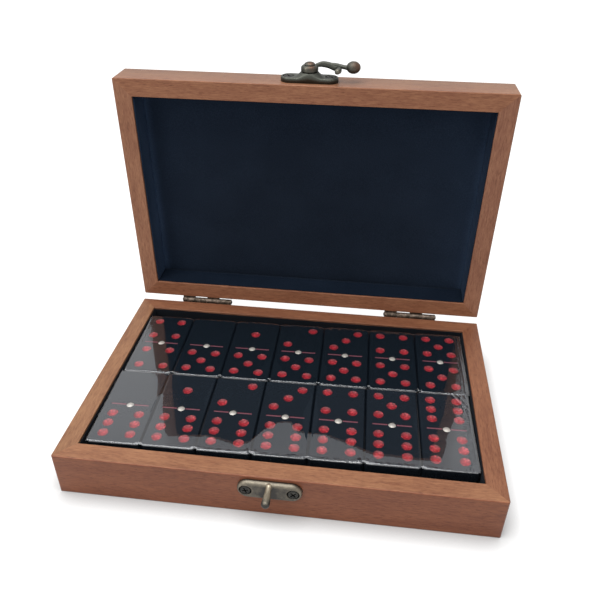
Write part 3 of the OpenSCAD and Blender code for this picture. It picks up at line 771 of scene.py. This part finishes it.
def castPlate(soften, boss=None):
    # round-ended plate as a height over x and y: h = body - (e - sqrt(e^2 - (e - d)^2)), where d is
    # the distance from the outline and e the softening; two seats are sunk for the screws, and the
    # boss is a flared cone with a flat top
    r = fitting["tall"] / 2
    x = (fitting["long"] / 2 - fitting["tip"]) * crowded(fitting["steps"][0])
    beyond = np.maximum(np.abs(x) - (fitting["long"] / 2 - r), 0)[:, None]
    y = crowded(fitting["steps"][1])[None, :] * np.sqrt(r ** 2 - beyond ** 2)
    x = np.broadcast_to(x[:, None], y.shape)
    d = np.clip(r - np.hypot(beyond, y), 0, None)
    body = np.full(y.shape, fitting["thick"])
    if boss:
        slope = ramp(boss["foot"] - np.hypot(x, y), 0, boss["foot"] - boss["top"])
        straight, power = boss["flare"]
        body = body + (boss["high"] - fitting["thick"]) * (straight * slope
                                                           + (1 - straight) * slope ** power)
    edge = np.clip(soften - d, 0, soften)
    h = body - (soften - np.sqrt(soften ** 2 - edge ** 2))
    fromScrew = np.hypot(np.abs(x) - fitting["screwX"], y)
    sunk = 1 - ramp(fromScrew, fitting["seat"] - fitting["seatEdge"], 2 * fitting["seatEdge"])
    h = h - fitting["seatDeep"] * smoothStep(sunk)
    at, wide = fitting["edgeWorn"]
    share, rimAt, rimWide = fitting["seatWorn"]
    worn = np.maximum(bell(d - at * soften, wide * soften),
                      share * bell(fromScrew - fitting["seat"] - rimAt, rimWide))
    worn = worn * (1 - sunk) - fitting["seatDark"] * sunk
    grid = np.stack([np.stack([x, y, h], -1), np.stack([x, y, 0 * h], -1)])
    return grid, slabFaces(*y.shape), np.stack([worn, 0 * worn])


def turned(profile, middle, ring=False, segments=56):
    # a profile of (height, radius) in mm turned about an axis along z through middle
    up, radius = np.array(profile).T[..., None] * mm
    angle = np.linspace(0, 2 * math.pi, segments, endpoint=False)
    x, y, z = np.array(middle) * mm
    grid = np.stack([x + radius * np.cos(angle), y + radius * np.sin(angle),
                     np.broadcast_to(z + up, (len(up), segments))], -1)
    return grid, gridFaces(*grid.shape[:2], True, True) if ring else tubeFaces(*grid.shape[:2])


def domed(foot, tall, radius, power, start, steps):
    # (height, radius) up to just short of the top: height foot + tall * sin t, radius * cos(t)^power
    return [(foot + tall * math.sin(t), radius * math.cos(t) ** power)
            for t in np.linspace(start, 1.56, steps)]


def smoothPath(points, steps):
    # Catmull-Rom curve through the points
    p = np.asarray(points, float)
    p = np.concatenate([[2 * p[0] - p[1]], p, [2 * p[-1] - p[-2]]])
    t = np.linspace(0, 1, steps, endpoint=False)[:, None]
    parts = [0.5 * (2 * p[k] + (p[k + 1] - p[k - 1]) * t
                    + (2 * p[k - 1] - 5 * p[k] + 4 * p[k + 1] - p[k + 2]) * t ** 2
                    + (3 * p[k] - p[k - 1] - 3 * p[k + 1] + p[k + 2]) * t ** 3)
             for k in range(1, len(p) - 2)]
    return np.concatenate(parts + [p[-2:-1]])


def limb(points, steps=14, segments=28, squareness=2.6):
    # a bar along a curve through points of (x, y, z, half width, half thickness) in mm: its section
    # is |u|^squareness + |v|^squareness = 1, a little squarer than an oval, and its ends are round
    curve = smoothPath(np.array(points) * mm, steps)
    centre, a, b = curve[:, :3], curve[:, 3], curve[:, 4]
    step = np.gradient(centre, axis=0)
    along = step / np.linalg.norm(step, axis=1)[:, None]
    side = np.cross(along, [0, 0, 1.0])
    side = side / np.linalg.norm(side, axis=1)[:, None]
    over = np.cross(side, along)
    angle = np.linspace(0, 2 * math.pi, segments, endpoint=False)[:, None]
    u, v = np.cos(angle), np.sin(angle)
    square = (np.abs(u) ** squareness + np.abs(v) ** squareness) ** (-1 / squareness)

    def ring(k, beyond=0.0, shrink=1.0):
        # the section at point k of the curve, moved on along it and drawn in
        middle = centre[k] + along[k] * b[k] * beyond
        return middle + square * (a[k] * shrink * u * side[k] + b[k] * shrink * v * over[k])

    # each end is a quarter turn of rings, down to 0.03 of the section
    bend = np.linspace(0, math.pi / 2, 9)[:-1]
    start = [ring(0, -math.cos(t), max(math.sin(t), 0.03)) for t in bend]
    end = [ring(-1, math.cos(t), max(math.sin(t), 0.03)) for t in bend[::-1]]
    grid = np.stack(start + [ring(k) for k in range(len(centre))] + end)
    return grid, tubeFaces(*grid.shape[:2])


def roundedRing(inner, outer, low, high, roundLow, roundHigh):
    # profile of an eye: a closed loop of (height, radius) with its outer edges rounded
    loop = [(low, inner)]
    for r, up, start, stop, steps in ((roundLow, low + roundLow, -math.pi / 2, 0, 8),
                                      (roundHigh, high - roundHigh, 0, math.pi / 2, 14)):
        loop += [(up + r * math.sin(t), outer - r + r * math.cos(t))
                 for t in np.linspace(start, stop, steps)]
    return loop + [(high, inner)]


def spot(points, centre, wide):
    # a bell round a place given in mm
    return bell(np.linalg.norm(points - np.array(centre) * mm, axis=-1), wide * mm)


def placeFitting(name, shells, place, material, body, nodeName, blushes=()):
    # blushes are spots of red copper: centre and radius in mm
    points, faces, worn = joinShells(shells)
    blush = np.zeros(len(points))
    for centre, radius in blushes:
        blush = np.maximum(blush, spot(points, centre, radius))
    points = place(points)
    if np.linalg.det(place(np.eye(3)) - place(np.zeros((1, 3)))) < 0:
        faces = [face[::-1] for face in faces]
    piece = meshObject(name, points, faces, material, body,
                       layers={"worn": worn, "blush": blush})
    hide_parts(nodeName)
    return piece


# the catch: plate and peg, in mm, with the plate drawn darker round the peg
catch = {
    "soften": 1.6,
    "pegUp": 3.35,
    "root": [(1.0, 1.35), (2.0, 1.5), (2.5, 1.5), (2.75, 1.42), (3.2, 1.36)],     # height, radius
    "stalk": (3.8, 11.0, 24), "neck": 1.35, "flare": 0.48, "flareFrom": 4.4, "flareLong": 6.6,
    "knob": (11.1, 1.64, 1.83, 0.8, 0.05, 14),      # as domed takes it
    "worn": 0.33, "rubbed": 0.2,          # of the plate: all over, and more along its bright edges
    # places up the plate are shares of half its height: where its edges begin to be brighter than
    # their least share, a painted highlight on the upper edges, and where the darker patch round the
    # peg ends and how softly
    "brightFrom": -0.3, "brightLeast": 0.5, "dirtTop": 0.8, "dirtFade": 0.25,
    # how much darker the plate is drawn round the peg, and how wide
    "dirt": 0.22, "dirtWide": 3.0,
    "pegWorn": 0.6, "pegRubbed": 0.5, "pegWide": 1.85,      # painted highlight: brighter on its upper side
    "pegDark": 0.6, "pegDarkFrom": 7.5, "pegDarkLong": 3,      # and darker towards the knob
}
plate, plateFaces, plateWornAndLit = castPlate(catch["soften"] * mm)
upper = plate[..., 1] / (fitting["tall"] / 2)
dirt = bell(plate[..., 0], catch["dirtWide"] * mm)
dirt = dirt * ramp(catch["dirtTop"] - upper, 0, catch["dirtFade"])
# painted highlight: the worn edges are drawn brighter towards the top of the plate
plateWornAndLit = plateWornAndLit * atLeast(catch["brightLeast"], ramp(upper, catch["brightFrom"], 1))
plateWornAndLit = (catch["worn"] + catch["rubbed"] * np.maximum(plateWornAndLit, 0)
             + np.minimum(plateWornAndLit, 0) - catch["dirt"] * dirt)
stalk = np.linspace(*catch["stalk"])
flare = 0.5 - 0.5 * np.cos(math.pi * ramp(stalk, catch["flareFrom"], catch["flareLong"]))
stalk = list(zip(stalk, catch["neck"] + catch["flare"] * flare))
peg, pegFaces = turned(catch["root"] + stalk + domed(*catch["knob"]), (0, catch["pegUp"], 0))
# painted highlight: the peg is drawn brighter on its upper side
pegWorn = catch["pegWorn"] + catch["pegRubbed"] * ramp(peg[..., 1], catch["pegUp"] * mm,
                                                       catch["pegWide"] * mm)
pegWorn -= catch["pegDark"] * ramp(peg[..., 2], catch["pegDarkFrom"] * mm,
                                   catch["pegDarkLong"] * mm)
placeFitting("catch", [(plate, plateFaces, plateWornAndLit), (peg, pegFaces, pegWorn)],
             onBase, catchBrass, "base", "catch_plate")

# the latch on the lid: plate with its boss, whose side is partly straight and partly a power curve
latch = {
    "soften": 0.7 * mm, "worn": 0.16,
    "boss": {"foot": 7.4 * mm, "top": 4.35 * mm, "high": 4.5 * mm, "flare": (0.35, 2.2)},
}
plate, plateFaces, plateWornAndLit = castPlate(latch["soften"], latch["boss"])
placeFitting("latch_base", [(plate, plateFaces, latch["worn"] * plateWornAndLit)],
             onLid, castBrass, "lid", "latch_plate")

# rivet: stem and low dome, in mm; the bright spot and the blush have a centre and a radius
rivet = {
    "stem": [(0.6, 1.2), (7.78, 1.2), (7.8, 2.55)],
    "dome": (7.8, 1.35, 2.7, 0.9, 0.0, 16),
    "worn": 0.05, "rubbed": 0.25, "rubbedAt": ((0.2, -1.5), 1.5), "blush": ((0.8, -1.0, 9), 1.8),
}
dome, domeFaces = turned(rivet["stem"] + domed(*rivet["dome"]), (0, 0, 0))
domeWorn = rivet["worn"] + rivet["rubbed"] * spot(dome[..., :2], *rivet["rubbedAt"])
placeFitting("rivet", [(dome, domeFaces, domeWorn)], onLid, castBrass, "lid",
             "latch_rivet", [rivet["blush"]])

# the hook: eye, arched arm that goes round the peg and ends in the barb, tail and ball, in mm;
# arm and tail are points of (x, y, z, half width, half thickness)
hook = {
    "eye": (1.26, 4.25, 4.62, 7.7, 0.7, 1.5),      # as roundedRing takes it
    "arm": [(3.4, 2.1, 7.2, 0.9, 0.9), (6.0, 3.2, 7.45, 1.2, 1.35), (9.0, 3.5, 7.0, 1.25, 1.45),
            (11.6, 3.1, 6.2, 1.2, 1.5), (13.4, 2.1, 5.8, 1.15, 1.5), (14.35, 0.3, 5.75, 1.15, 1.45),
            (14.4, -1.7, 5.9, 1.2, 1.4), (14.15, -3.5, 6.1, 1.25, 1.3), (13.75, -5.1, 6.2, 1.25, 1.25)],
    "tail": [(9.6, 3.5, 7.2, 1.0, 1.0), (12.4, 3.0, 7.15, 1.1, 1.05), (15.0, 1.5, 7.1, 1.1, 1.0),
             (17.4, 0.6, 6.95, 1.1, 1.0), (19.9, 0.4, 6.9, 1.7, 1.7)],
    "ball": (0, 2.85, 3.45, 0.95, -1.56, 36), "ballAt": (21.15, 0.4, 7.1),      # as domed takes it
    "blushes": [((23.6, -1.5, 8.5), 2.9), ((1.2, -3.0, 7.4), 1.6)],
    # wear of eye and ball, of the arm and of the tail, and where they are rubbed bright: a spot on
    # the eye, the barb below, and the ball above
    "worn": 0.05, "armWorn": -0.1, "tailWorn": -0.05,
    "eyeRubbed": 0.3, "eyeRubbedAt": ((-0.8, -3.6, 6.9), 1.5),
    "barbRubbed": 0.55, "barbFrom": 1.8, "ballRubbed": 0.25, "ballFrom": 7.5, "fade": 3,
}
eye, eyeFaces = turned(roundedRing(*hook["eye"]), (0, 0, 0), ring=True)
arm, armFaces = limb(hook["arm"])
tail, tailFaces = limb(hook["tail"])
ball, ballFaces = turned(domed(*hook["ball"]), hook["ballAt"])
eyeWorn = hook["worn"] + hook["eyeRubbed"] * spot(eye, *hook["eyeRubbedAt"])
barb = ramp(-arm[..., 1], hook["barbFrom"] * mm, hook["fade"] * mm)
armWorn = hook["armWorn"] + hook["barbRubbed"] * barb
ballTop = ramp(ball[..., 2], hook["ballFrom"] * mm, hook["fade"] * mm)
ballWorn = hook["worn"] + hook["ballRubbed"] * ballTop
placeFitting("hook", [(eye, eyeFaces, eyeWorn), (arm, armFaces, armWorn),
                      (tail, tailFaces, hook["tailWorn"]), (ball, ballFaces, ballWorn)],
             onLid, castBrass, "hook", "latch_hook", hook["blushes"])
print("latch and catch done")


# shrink film over each pack

film = {
    "corner": 0.5 * mm,       # radius where it turns down over the dominoes
    "low": 0.02 * mm,         # its underside, above the foot of the pack
    "lift": 0.05 * mm,        # above the domino faces
    "step": 0.5 * mm, "endStep": 0.2 * mm, "endLong": 13 * mm,      # spacing, and near its ends
    # into the gaps between dominoes: how deep and wide, and how far it fades near an end and front
    "dip": 0.035 * mm, "dipWide": 2.0 * mm, "dipEnd": 4 * mm, "dipFront": 16 * mm,
    # how far it cuts the corner where it spans a gap, how wide, and how far from the fold
    "bridge": 0.40 * mm, "bridgeWide": 2.4 * mm, "bridgeFold": 0.8 * mm,
    # the folds run in between the round corners of the dominoes
    "tuck": 0.7 * mm, "tuckWide": 1.1 * mm, "tuckFold": 1.3 * mm,
    # wrinkles along the folds, and sharper ones beside each gap
    "pucker": 0.05 * mm, "puckerFold": 1.7 * mm, "puckerWaves": (9, 18 * mm, 1.8 * mm),
    "puckerSlant": (0.35, 0.2), "puckerFall": 1.3, "puckerRound": 0.8, "puckerLeast": 0.35,
    "pinch": 2.6, "pinchAt": 1.9 * mm, "pinchWide": 0.9 * mm,
    "underAt": 1.7 * mm, "underWide": 0.3 * mm,      # a second fold just below the first
    "slow": (4, 70 * mm, 12 * mm),                   # where puckers and second fold are stronger
    "gapStrength": (0.3, 1.5, 9), "least": 0.4,      # each gap draws its own: from, to, how many
    "slack": 0.030 * mm, "slackWaves": (6, 85 * mm, 26 * mm),       # slow waves of the flat
    # the bend at the front: how far it reaches, its slope in degrees and per mm, and its fades
    "swellLong": 30 * mm, "swellSteps": 301, "swellSlope": (1.8, 0.2), "swellFade": 6 * mm,
    "swellFrom": 1.0 * mm, "swellStart": 0.9 * mm,
    "lean": 0.02, "leanDeep": 16 * mm,
    "endFrom": 1.4, "endHole": 0.3 * mm,      # the flat of an end, in corners, and what it leaves
    "endRings": 7, "endCrease": 0.10 * mm, "endWaves": (6, 9 * mm, 1.4 * mm), "endBow": 0.05 * mm,
    # small creases in the shine: how strong at the left and right end and along the folds, how far
    "crinkle": (0.5, 1, 0.45), "crinkleEnd": 9 * mm, "crinkleFold": 2.5 * mm,
    "ior": 1.52, "blur": 0.03, "foldBlur": 0.22,
    "crumple": 330.0, "crumpleDeep": 0.55 * mm,
    "clear": (0.985, 0.985, 0.985, 1), "mirror": (0.86, 0.865, 0.89, 1), "leastShine": 0.004,
}
filmTop = pack["skin"] + 2 * pack["dominoThick"] + film["lift"]
halfWide, halfDeep = pack["wide"] / 2, pack["deep"] / 2


def filmSection():
    # rounded rectangle in the plane across the pack, as (y, z, ny, nz), from the middle of the
    # top round the front; points crowd at the rounded edges
    low, high, r = film["low"], filmTop, film["corner"]
    arc = np.linspace(0, math.pi / 2, 12, endpoint=False)
    # each side: start, end, normal, steps, and the angle where the corner after it begins
    sides = [((0, high), (-(halfDeep - r), high), (0, 1), 50, math.pi / 2),
             ((-halfDeep, high - r), (-halfDeep, low + r), (-1, 0), 14, math.pi),
             ((-(halfDeep - r), low), (halfDeep - r, low), (0, -1), 14, 1.5 * math.pi),
             ((halfDeep, low + r), (halfDeep, high - r), (1, 0), 14, 0),
             ((halfDeep - r, high), (0, high), (0, 1), 50, None)]
    corners = [(-1, 1), (-1, -1), (1, -1), (1, 1)]      # front top, front foot, back foot, back top
    rows = []
    for k, ((y0, z0), (y1, z1), normal, steps, turn) in enumerate(sides):
        t = 0.5 - 0.5 * np.cos(np.linspace(0, math.pi, steps, endpoint=False))
        y, z = y0 + (y1 - y0) * t, z0 + (z1 - z0) * t
        rows.append(np.stack([y, z, 0 * t + normal[0], 0 * t + normal[1]], 1))
        if turn is not None:
            front, top = corners[k]
            c, s = np.cos(turn + arc), np.sin(turn + arc)
            upright = high - r if top > 0 else low + r
            rows.append(np.stack([front * (halfDeep - r) + r * c, upright + r * s, c, s], 1))
    return np.concatenate(rows)


def stretches():
    # places along the pack: fine near both ends
    half = halfWide - film["corner"]
    fine = np.arange(0, film["endLong"], film["endStep"])
    coarse = np.arange(-half + film["endLong"] / 2, half - film["endLong"], film["step"])
    return np.concatenate([-half + fine[::2][fine[::2] < film["endLong"] / 2], coarse,
                           half - film["endLong"] + fine, [half]])


def ridge(gx, gy, path, tall, wide):
    # a sharp crease of the film along straight lines between the points of path, falling off
    # beside them as e^(-distance / wide)
    lift = np.zeros(np.broadcast(gx, gy).shape)
    for (ax, ay), (bx, by) in zip(path[:-1], path[1:]):
        dx, dy = bx - ax, by - ay
        along = np.clip(((gx - ax) * dx + (gy - ay) * dy) / (dx ** 2 + dy ** 2), 0, 1)
        away = np.hypot(gx - ax - along * dx, gy - ay - along * dy)
        lift = np.maximum(lift, tall * np.exp(-(away / wide)))
    return lift


def filmTube(x, section, look):
    # the section carried along the pack, moved out along its normal by puckers at the folds plus
    # slow waves of the flat plus straight creases, less dips over the gaps and the corners that it
    # cuts there; the tuck then draws the folds in beside each gap
    gx, (gy, gz, ny, nz) = x[:, None], section.T[:, None, :]
    seed = look["seed"]
    boundary = (gx + halfWide) % pack["pitch"]
    boundary = np.minimum(boundary, pack["pitch"] - boundary)
    inner = ramp(halfWide - np.abs(gx), 0, film["dipEnd"])
    between = bell(boundary, film["dipWide"]) * inner
    between = between * np.clip((gy + halfDeep) / film["dipFront"], 0.15, 1)
    down = np.maximum(filmTop - gz, 0)
    edgeAway = np.where(nz > 0.05, halfDeep - np.abs(gy), 0)
    fold = np.exp(-((edgeAway + down) / film["puckerFold"]) ** film["puckerFall"])
    slant, across = film["puckerSlant"]
    crumpled = waves(gx + slant * (gy + gz), across * gy, seed, *film["puckerWaves"])
    ridged = 1 - 2 * np.abs(crumpled) ** film["puckerRound"]
    strong = np.random.default_rng(seed + 3).uniform(*film["gapStrength"])
    strong = strong[np.round((gx + halfWide) / pack["pitch"]).astype(int)]
    pinch = film["pinch"] * look["pinch"] * bell(boundary - film["pinchAt"], film["pinchWide"])
    slow = 0.5 + 0.5 * waves(gx, 0 * gy, seed + 5, *film["slow"])
    ridged = ridged * atLeast(film["puckerLeast"], slow)
    lift = film["pucker"] * fold * (ridged + pinch * inner * strong)
    onTop = np.clip(nz, 0, 1)
    lift = lift + film["slack"] * waves(gx, gy, seed + 9, *film["slackWaves"]) * onTop
    lift = lift - film["dip"] * between
    under = np.where(ny < -0.9, bell(down - film["underAt"], film["underWide"]), 0)
    lift = lift + look["under"] * mm * under * atLeast(film["least"], slow)
    spans = bell(boundary, film["bridgeWide"]) * inner * atLeast(film["least"], strong)
    lift = lift - film["bridge"] * spans * bell(edgeAway + down, film["bridgeFold"])
    for path, tall, wide in look["creases"]:
        lift = lift + onTop * ridge(gx, gy, np.array(path) * mm, tall * mm, wide * mm)
    tuck = look["tuck"] * film["tuck"] * bell(boundary, film["tuckWide"]) * inner
    tuck = tuck * bell(edgeAway, film["tuckFold"]) * np.sign(gy)
    lift, tuck = (np.where(nz < -0.2, 0, moved) for moved in (lift, tuck))      # flat underneath
    return np.stack([np.broadcast_to(gx, lift.shape), gy + ny * lift - tuck, gz + nz * lift], -1)


def filmSwell(x, section, look):
    # bends the reflection only: the film falls towards the front by its slope integrated over the
    # distance s to the edge, steep to the depth given at each x and then fading out, and level
    # again just before the fold; it also leans towards the right end of its front half
    gx, gy = x[:, None], section[None, :, 0]
    deepest = np.interp(x, np.array(look["swellAt"]) * mm, np.array(look["swellDeep"]) * mm)[:, None]
    s = np.linspace(0, film["swellLong"], film["swellSteps"])[None, :]
    steep, steeper = film["swellSlope"]
    slope = np.radians(steep + steeper * np.minimum(s, deepest) / mm)
    fade = 1 - smoothStep(ramp(s, deepest, film["swellFade"]))
    taut = smoothStep(ramp(s, film["swellFrom"], film["swellStart"]))
    fall = np.cumsum((slope * fade * taut * look["swell"])[:, ::-1], 1)[:, ::-1] * s[0, 1]
    fromFront = np.clip(gy + halfDeep, 0, film["swellLong"])
    swell = -np.stack([np.interp(fromFront[0], s[0], row) for row in fall])
    toRight = np.clip(gx - look["leanFrom"] * mm, 0, None)
    lean = film["lean"] * toRight * np.clip(0.5 - gy / film["leanDeep"], 0, 1)
    return (swell - lean) * np.clip(section[None, :, 3], 0, 1)


def filmEnd(sign, ring, section, seed):
    # rings from the last one of the tube: the section rounds over by a quarter turn, then shrinks
    # to the middle of the end, with small creases
    r, count = film["corner"], film["endRings"]
    middleUp = (filmTop + film["low"]) / 2
    bend = np.linspace(0, math.pi / 2, count + 1)[1:]
    flat = np.linspace(r * film["endFrom"], pack["high"] / 2 - film["endHole"], count)
    insets = np.concatenate([r * (1 - np.cos(bend)), flat])
    beyond = np.concatenate([r * np.sin(bend), np.full(count, r)])
    crease = waves(*section.T[:2], seed, *film["endWaves"]) * film["endCrease"] - film["endBow"]
    rings = []
    for inset, out in zip(insets, beyond):
        across, up = (np.sign(away) * np.maximum(np.abs(away) - inset, 0)
                      for away in (ring[:, 1], ring[:, 2] - middleUp))
        rings.append(np.stack([sign * (halfWide - r + out + crease * (inset > r)), across,
                               middleUp + up], -1))
    return rings


def filmBag(name, middle, body, nodeName, look):
    # tube and both ends as one grid, set down in the turned frame of its pack
    section, x = filmSection(), stretches()
    tube, swell = filmTube(x, section, look), filmSwell(x, section, look)
    first, last = (filmEnd(sign, ring, section, look["seed"] + 13)
                   for sign, ring in ((-1, tube[0]), (1, tube[-1])))
    grid = np.stack(first[::-1] + list(tube) + last)
    swell = np.pad(swell, ((len(first), len(last)), (0, 0)), mode="edge")
    atEnd = 1 - ramp(halfWide - np.abs(grid[..., 0]), 0, film["crinkleEnd"])
    atFold = 1 - ramp(halfDeep - np.abs(grid[..., 1]), 0, film["crinkleFold"])
    left, right, front = film["crinkle"]
    crinkle = np.maximum(atEnd * np.where(grid[..., 0] > 0, right, left), front * atFold)
    c, s = math.cos(pack["skew"]), math.sin(pack["skew"])
    along, across, up = np.moveaxis(grid, -1, 0)
    placed = np.stack([middle[0] + c * along - s * across, middle[1] + s * along + c * across,
                       pack["floor"] + up], -1)
    faces = outward(placed, tubeFaces(*up.shape))
    piece = meshObject(name, placed, faces, filmMaterial, body,
                       layers={"swell": swell, "crinkle": crinkle})
    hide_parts(nodeName)
    return piece


def makeFilm():
    # clear film: what lies behind shows through, and both of its faces reflect sharply
    material, tree, _ = newMaterial("shrink_film")
    tree.nodes.clear()
    wavy = noise(tree, objectCoords(tree), film["crumple"], 3.0, Roughness=0.55, Distortion=0.8)
    crinkled = meshLayer(tree, "crinkle")
    creased = math2(tree, "ABSOLUTE", math2(tree, "SUBTRACT", wavy, 0.5))
    normal = bumpFrom(tree, math2(tree, "MULTIPLY", creased, crinkled), -film["crumpleDeep"], 1.0,
                      bumpFrom(tree, meshLayer(tree, "swell"), 1.0))
    fromInside = addNode(tree, "NewGeometry").outputs["Backfacing"]
    ior = mapRange(tree, fromInside, 0, 1, film["ior"], 1 / film["ior"])
    fresnel = addNode(tree, "Fresnel", {"IOR": ior, "Normal": normal}).outputs[0]
    both = math2(tree, "DIVIDE", math2(tree, "MULTIPLY", fresnel, 2.0),
                 math2(tree, "ADD", fresnel, 1.0))
    share = math2(tree, "ADD", both, film["leastShine"], clamp=True)
    clear = addNode(tree, "BsdfTransparent", {"Color": film["clear"]})
    blur = mapRange(tree, crinkled, 0, 1, film["blur"], film["foldBlur"])
    mirror = addNode(tree, "BsdfPrincipled", {"Base Color": film["mirror"], "Metallic": 1.0,
                                              "Roughness": blur, "Normal": normal})
    mix = addNode(tree, "MixShader", {0: share, 1: clear.outputs[0], 2: mirror.outputs[0]})
    addNode(tree, "OutputMaterial", {"Surface": mix.outputs[0]})
    return material


filmMaterial = makeFilm()
# creases are a path in mm, a height and a width
frontLook = {
    "seed": 41, "tuck": 0.5, "pinch": 1.3, "under": 0.35, "swell": 1.0, "leanFrom": 54,
    "swellAt": [-88, -60, -46, -34, -26, -19, -14, -9, -3, 3, 8, 20, 30, 38, 42, 67, 88],
    "swellDeep": [3, 3.5, 4.2, 6, 4, 1.5, 4.5, 13, 19, 20, 14, 13.5, 9, 5, 3, 2.8, 3],
    "creases": [
        ([(87.2, -24), (87.0, -5), (87.4, 13), (87.2, 24)], 0.10, 0.35),
        ([(80.2, 25), (83, 19.5), (87.6, 13.4)], 0.30, 0.35),
        ([(82.5, 25), (88, 17)], 0.20, 0.3),
        ([(85, 24.5), (84, 20), (88, 21)], 0.16, 0.25),
        ([(82.2, -18.5), (85, -22), (88, -20)], 0.12, 0.3),
        ([(84, -24.5), (86, -19), (88, -16)], 0.10, 0.3),
        ([(-87.5, -24), (-87, 0), (-87.5, 24)], 0.05, 0.4),
    ],
}
backLook = {
    "seed": 61, "tuck": 1.3, "pinch": 0.2, "under": 0.0, "swell": 0.0, "leanFrom": 66,
    "swellAt": [0, 1], "swellDeep": [3, 3],
    "creases": [
        ([(86.6, -24), (86.9, -5), (86.5, 12), (86.9, 24)], 0.12, 0.35),
        ([(84.5, -24.6), (85.6, -12), (84.9, 5), (85.5, 23)], 0.05, 0.3),
        ([(80, -24.4), (84, -21), (88, -22.5)], 0.12, 0.3),
        ([(-85, 21.9), (-63, 21.6), (-40, 22.2), (-13, 21.5), (12, 21.9), (36, 21.3), (60, 22.4),
          (84, 23.6)], 0.035, 0.4),
        ([(-87.5, -24), (-87, 0), (-87.5, 24)], 0.05, 0.4),
    ],
}
filmBag("film_front", middles["front"], "front_pack", "wrap_front", frontLook)
filmBag("film_back", middles["back"], "back_pack", "wrap_back", backLook)
print("film done")


# camera, light and floor

view = {
    "eye": Vector((32.234, -244.777, 234.874)) * mm,
    "forward": Vector((-0.09705, 0.82933, -0.55027)),
    "roll": math.radians(0.56),
    "lens": 38.07,
}


def makeCamera():
    # looks along forward, its right side raised by the roll
    forward = view["forward"].normalized()
    level = forward.cross(Vector((0, 0, 1))).normalized()
    upright = level.cross(forward)
    right = level * math.cos(view["roll"]) + upright * math.sin(view["roll"])
    up = right.cross(forward)
    data = bpy.data.cameras.new("camera")
    data.lens = view["lens"]
    data.sensor_width = 36
    data.clip_start = 0.01
    camera = bpy.data.objects.new("camera", data)
    turn = Matrix((right, up, -forward)).transposed().to_4x4()
    camera.matrix_world = Matrix.Translation(view["eye"]) @ turn
    bpy.context.scene.collection.objects.link(camera)
    bpy.context.scene.camera = camera


studio = {
    "ambient": 0.26,
    "floorHalf": 4.0, "floorLift": 0.74, "floorShade": 0.42,
    "contact": 14 * mm, "contactDepth": 2.3,      # reach of the shadow at the foot, and how dark
    # name, place, what it points at, sides and power
    "lamps": [("overhead", (-0.45, -0.25, 2.1), (0, 0, 0), (2.4, 2.4), 68),
              ("front_left", (-1.3, -1.3, 0.9), (0, 0, 0.05), (0.8, 0.8), 5.0)],
}


def makeLamp(name, place, target, size, power):
    data = bpy.data.lights.new(name, "AREA")
    data.shape = "RECTANGLE"
    data.size, data.size_y = size
    data.energy = power
    lamp = bpy.data.objects.new(name, data)
    lamp.location = place
    lamp.rotation_euler = (Vector(target) - Vector(place)).to_track_quat("-Z", "Y").to_euler()
    bpy.context.scene.collection.objects.link(lamp)


def seenDirectly(tree):
    # 1 where the eye meets it straight on, in a shine or through the film, 0 where it only lights
    path = addNode(tree, "LightPath").outputs
    both = math2(tree, "MAXIMUM", path["Is Camera Ray"], path["Is Glossy Ray"])
    return math2(tree, "MAXIMUM", both, path["Is Transmission Ray"])


def makeWorld():
    world = bpy.data.worlds.new("studio")
    bpy.context.scene.world = world
    world.use_nodes = True
    tree = world.node_tree
    tree.nodes.clear()
    soft, white = (addNode(tree, "Background", {"Color": (1, 1, 1, 1), "Strength": strength})
                   for strength in (studio["ambient"], 1.0))
    mix = addNode(tree, "MixShader", {0: seenDirectly(tree), 1: soft.outputs[0],
                                      2: white.outputs[0]})
    addNode(tree, "OutputWorld", {"Surface": mix.outputs[0]})


def makeFloor():
    material, tree, shader = newMaterial("floor_white")
    shade, half = studio["floorShade"], studio["floorHalf"]
    feed(tree, shader, {"Base Color": (shade, shade, shade, 1), "Roughness": 1.0,
                        "Specular IOR Level": 0.0})
    near = addNode(tree, "AmbientOcclusion", {"Distance": studio["contact"]}).outputs["AO"]
    lift = math2(tree, "MULTIPLY", math2(tree, "POWER", near, studio["contactDepth"]),
                 studio["floorLift"])
    glow = addNode(tree, "Emission", {"Color": (1, 1, 1, 1), "Strength": math2(
        tree, "MULTIPLY", seenDirectly(tree), lift)})
    both = addNode(tree, "AddShader", {0: shader.outputs[0], 1: glow.outputs[0]})
    feed(tree, tree.nodes["Material Output"], {"Surface": both.outputs[0]})
    mesh = bpy.data.meshes.new("floor")
    mesh.from_pydata([(-half, -half, 0), (half, -half, 0), (half, half, 0), (-half, half, 0)],
                     [], [(0, 1, 2, 3)])
    mesh.materials.append(material)
    floor = bpy.data.objects.new("floor", mesh)
    bpy.context.scene.collection.objects.link(floor)


makeCamera()
makeWorld()
makeFloor()
for lamp in studio["lamps"]:
    makeLamp(*lamp)
bpy.context.scene.view_settings.view_transform = "Standard"
print("camera, light and floor done")
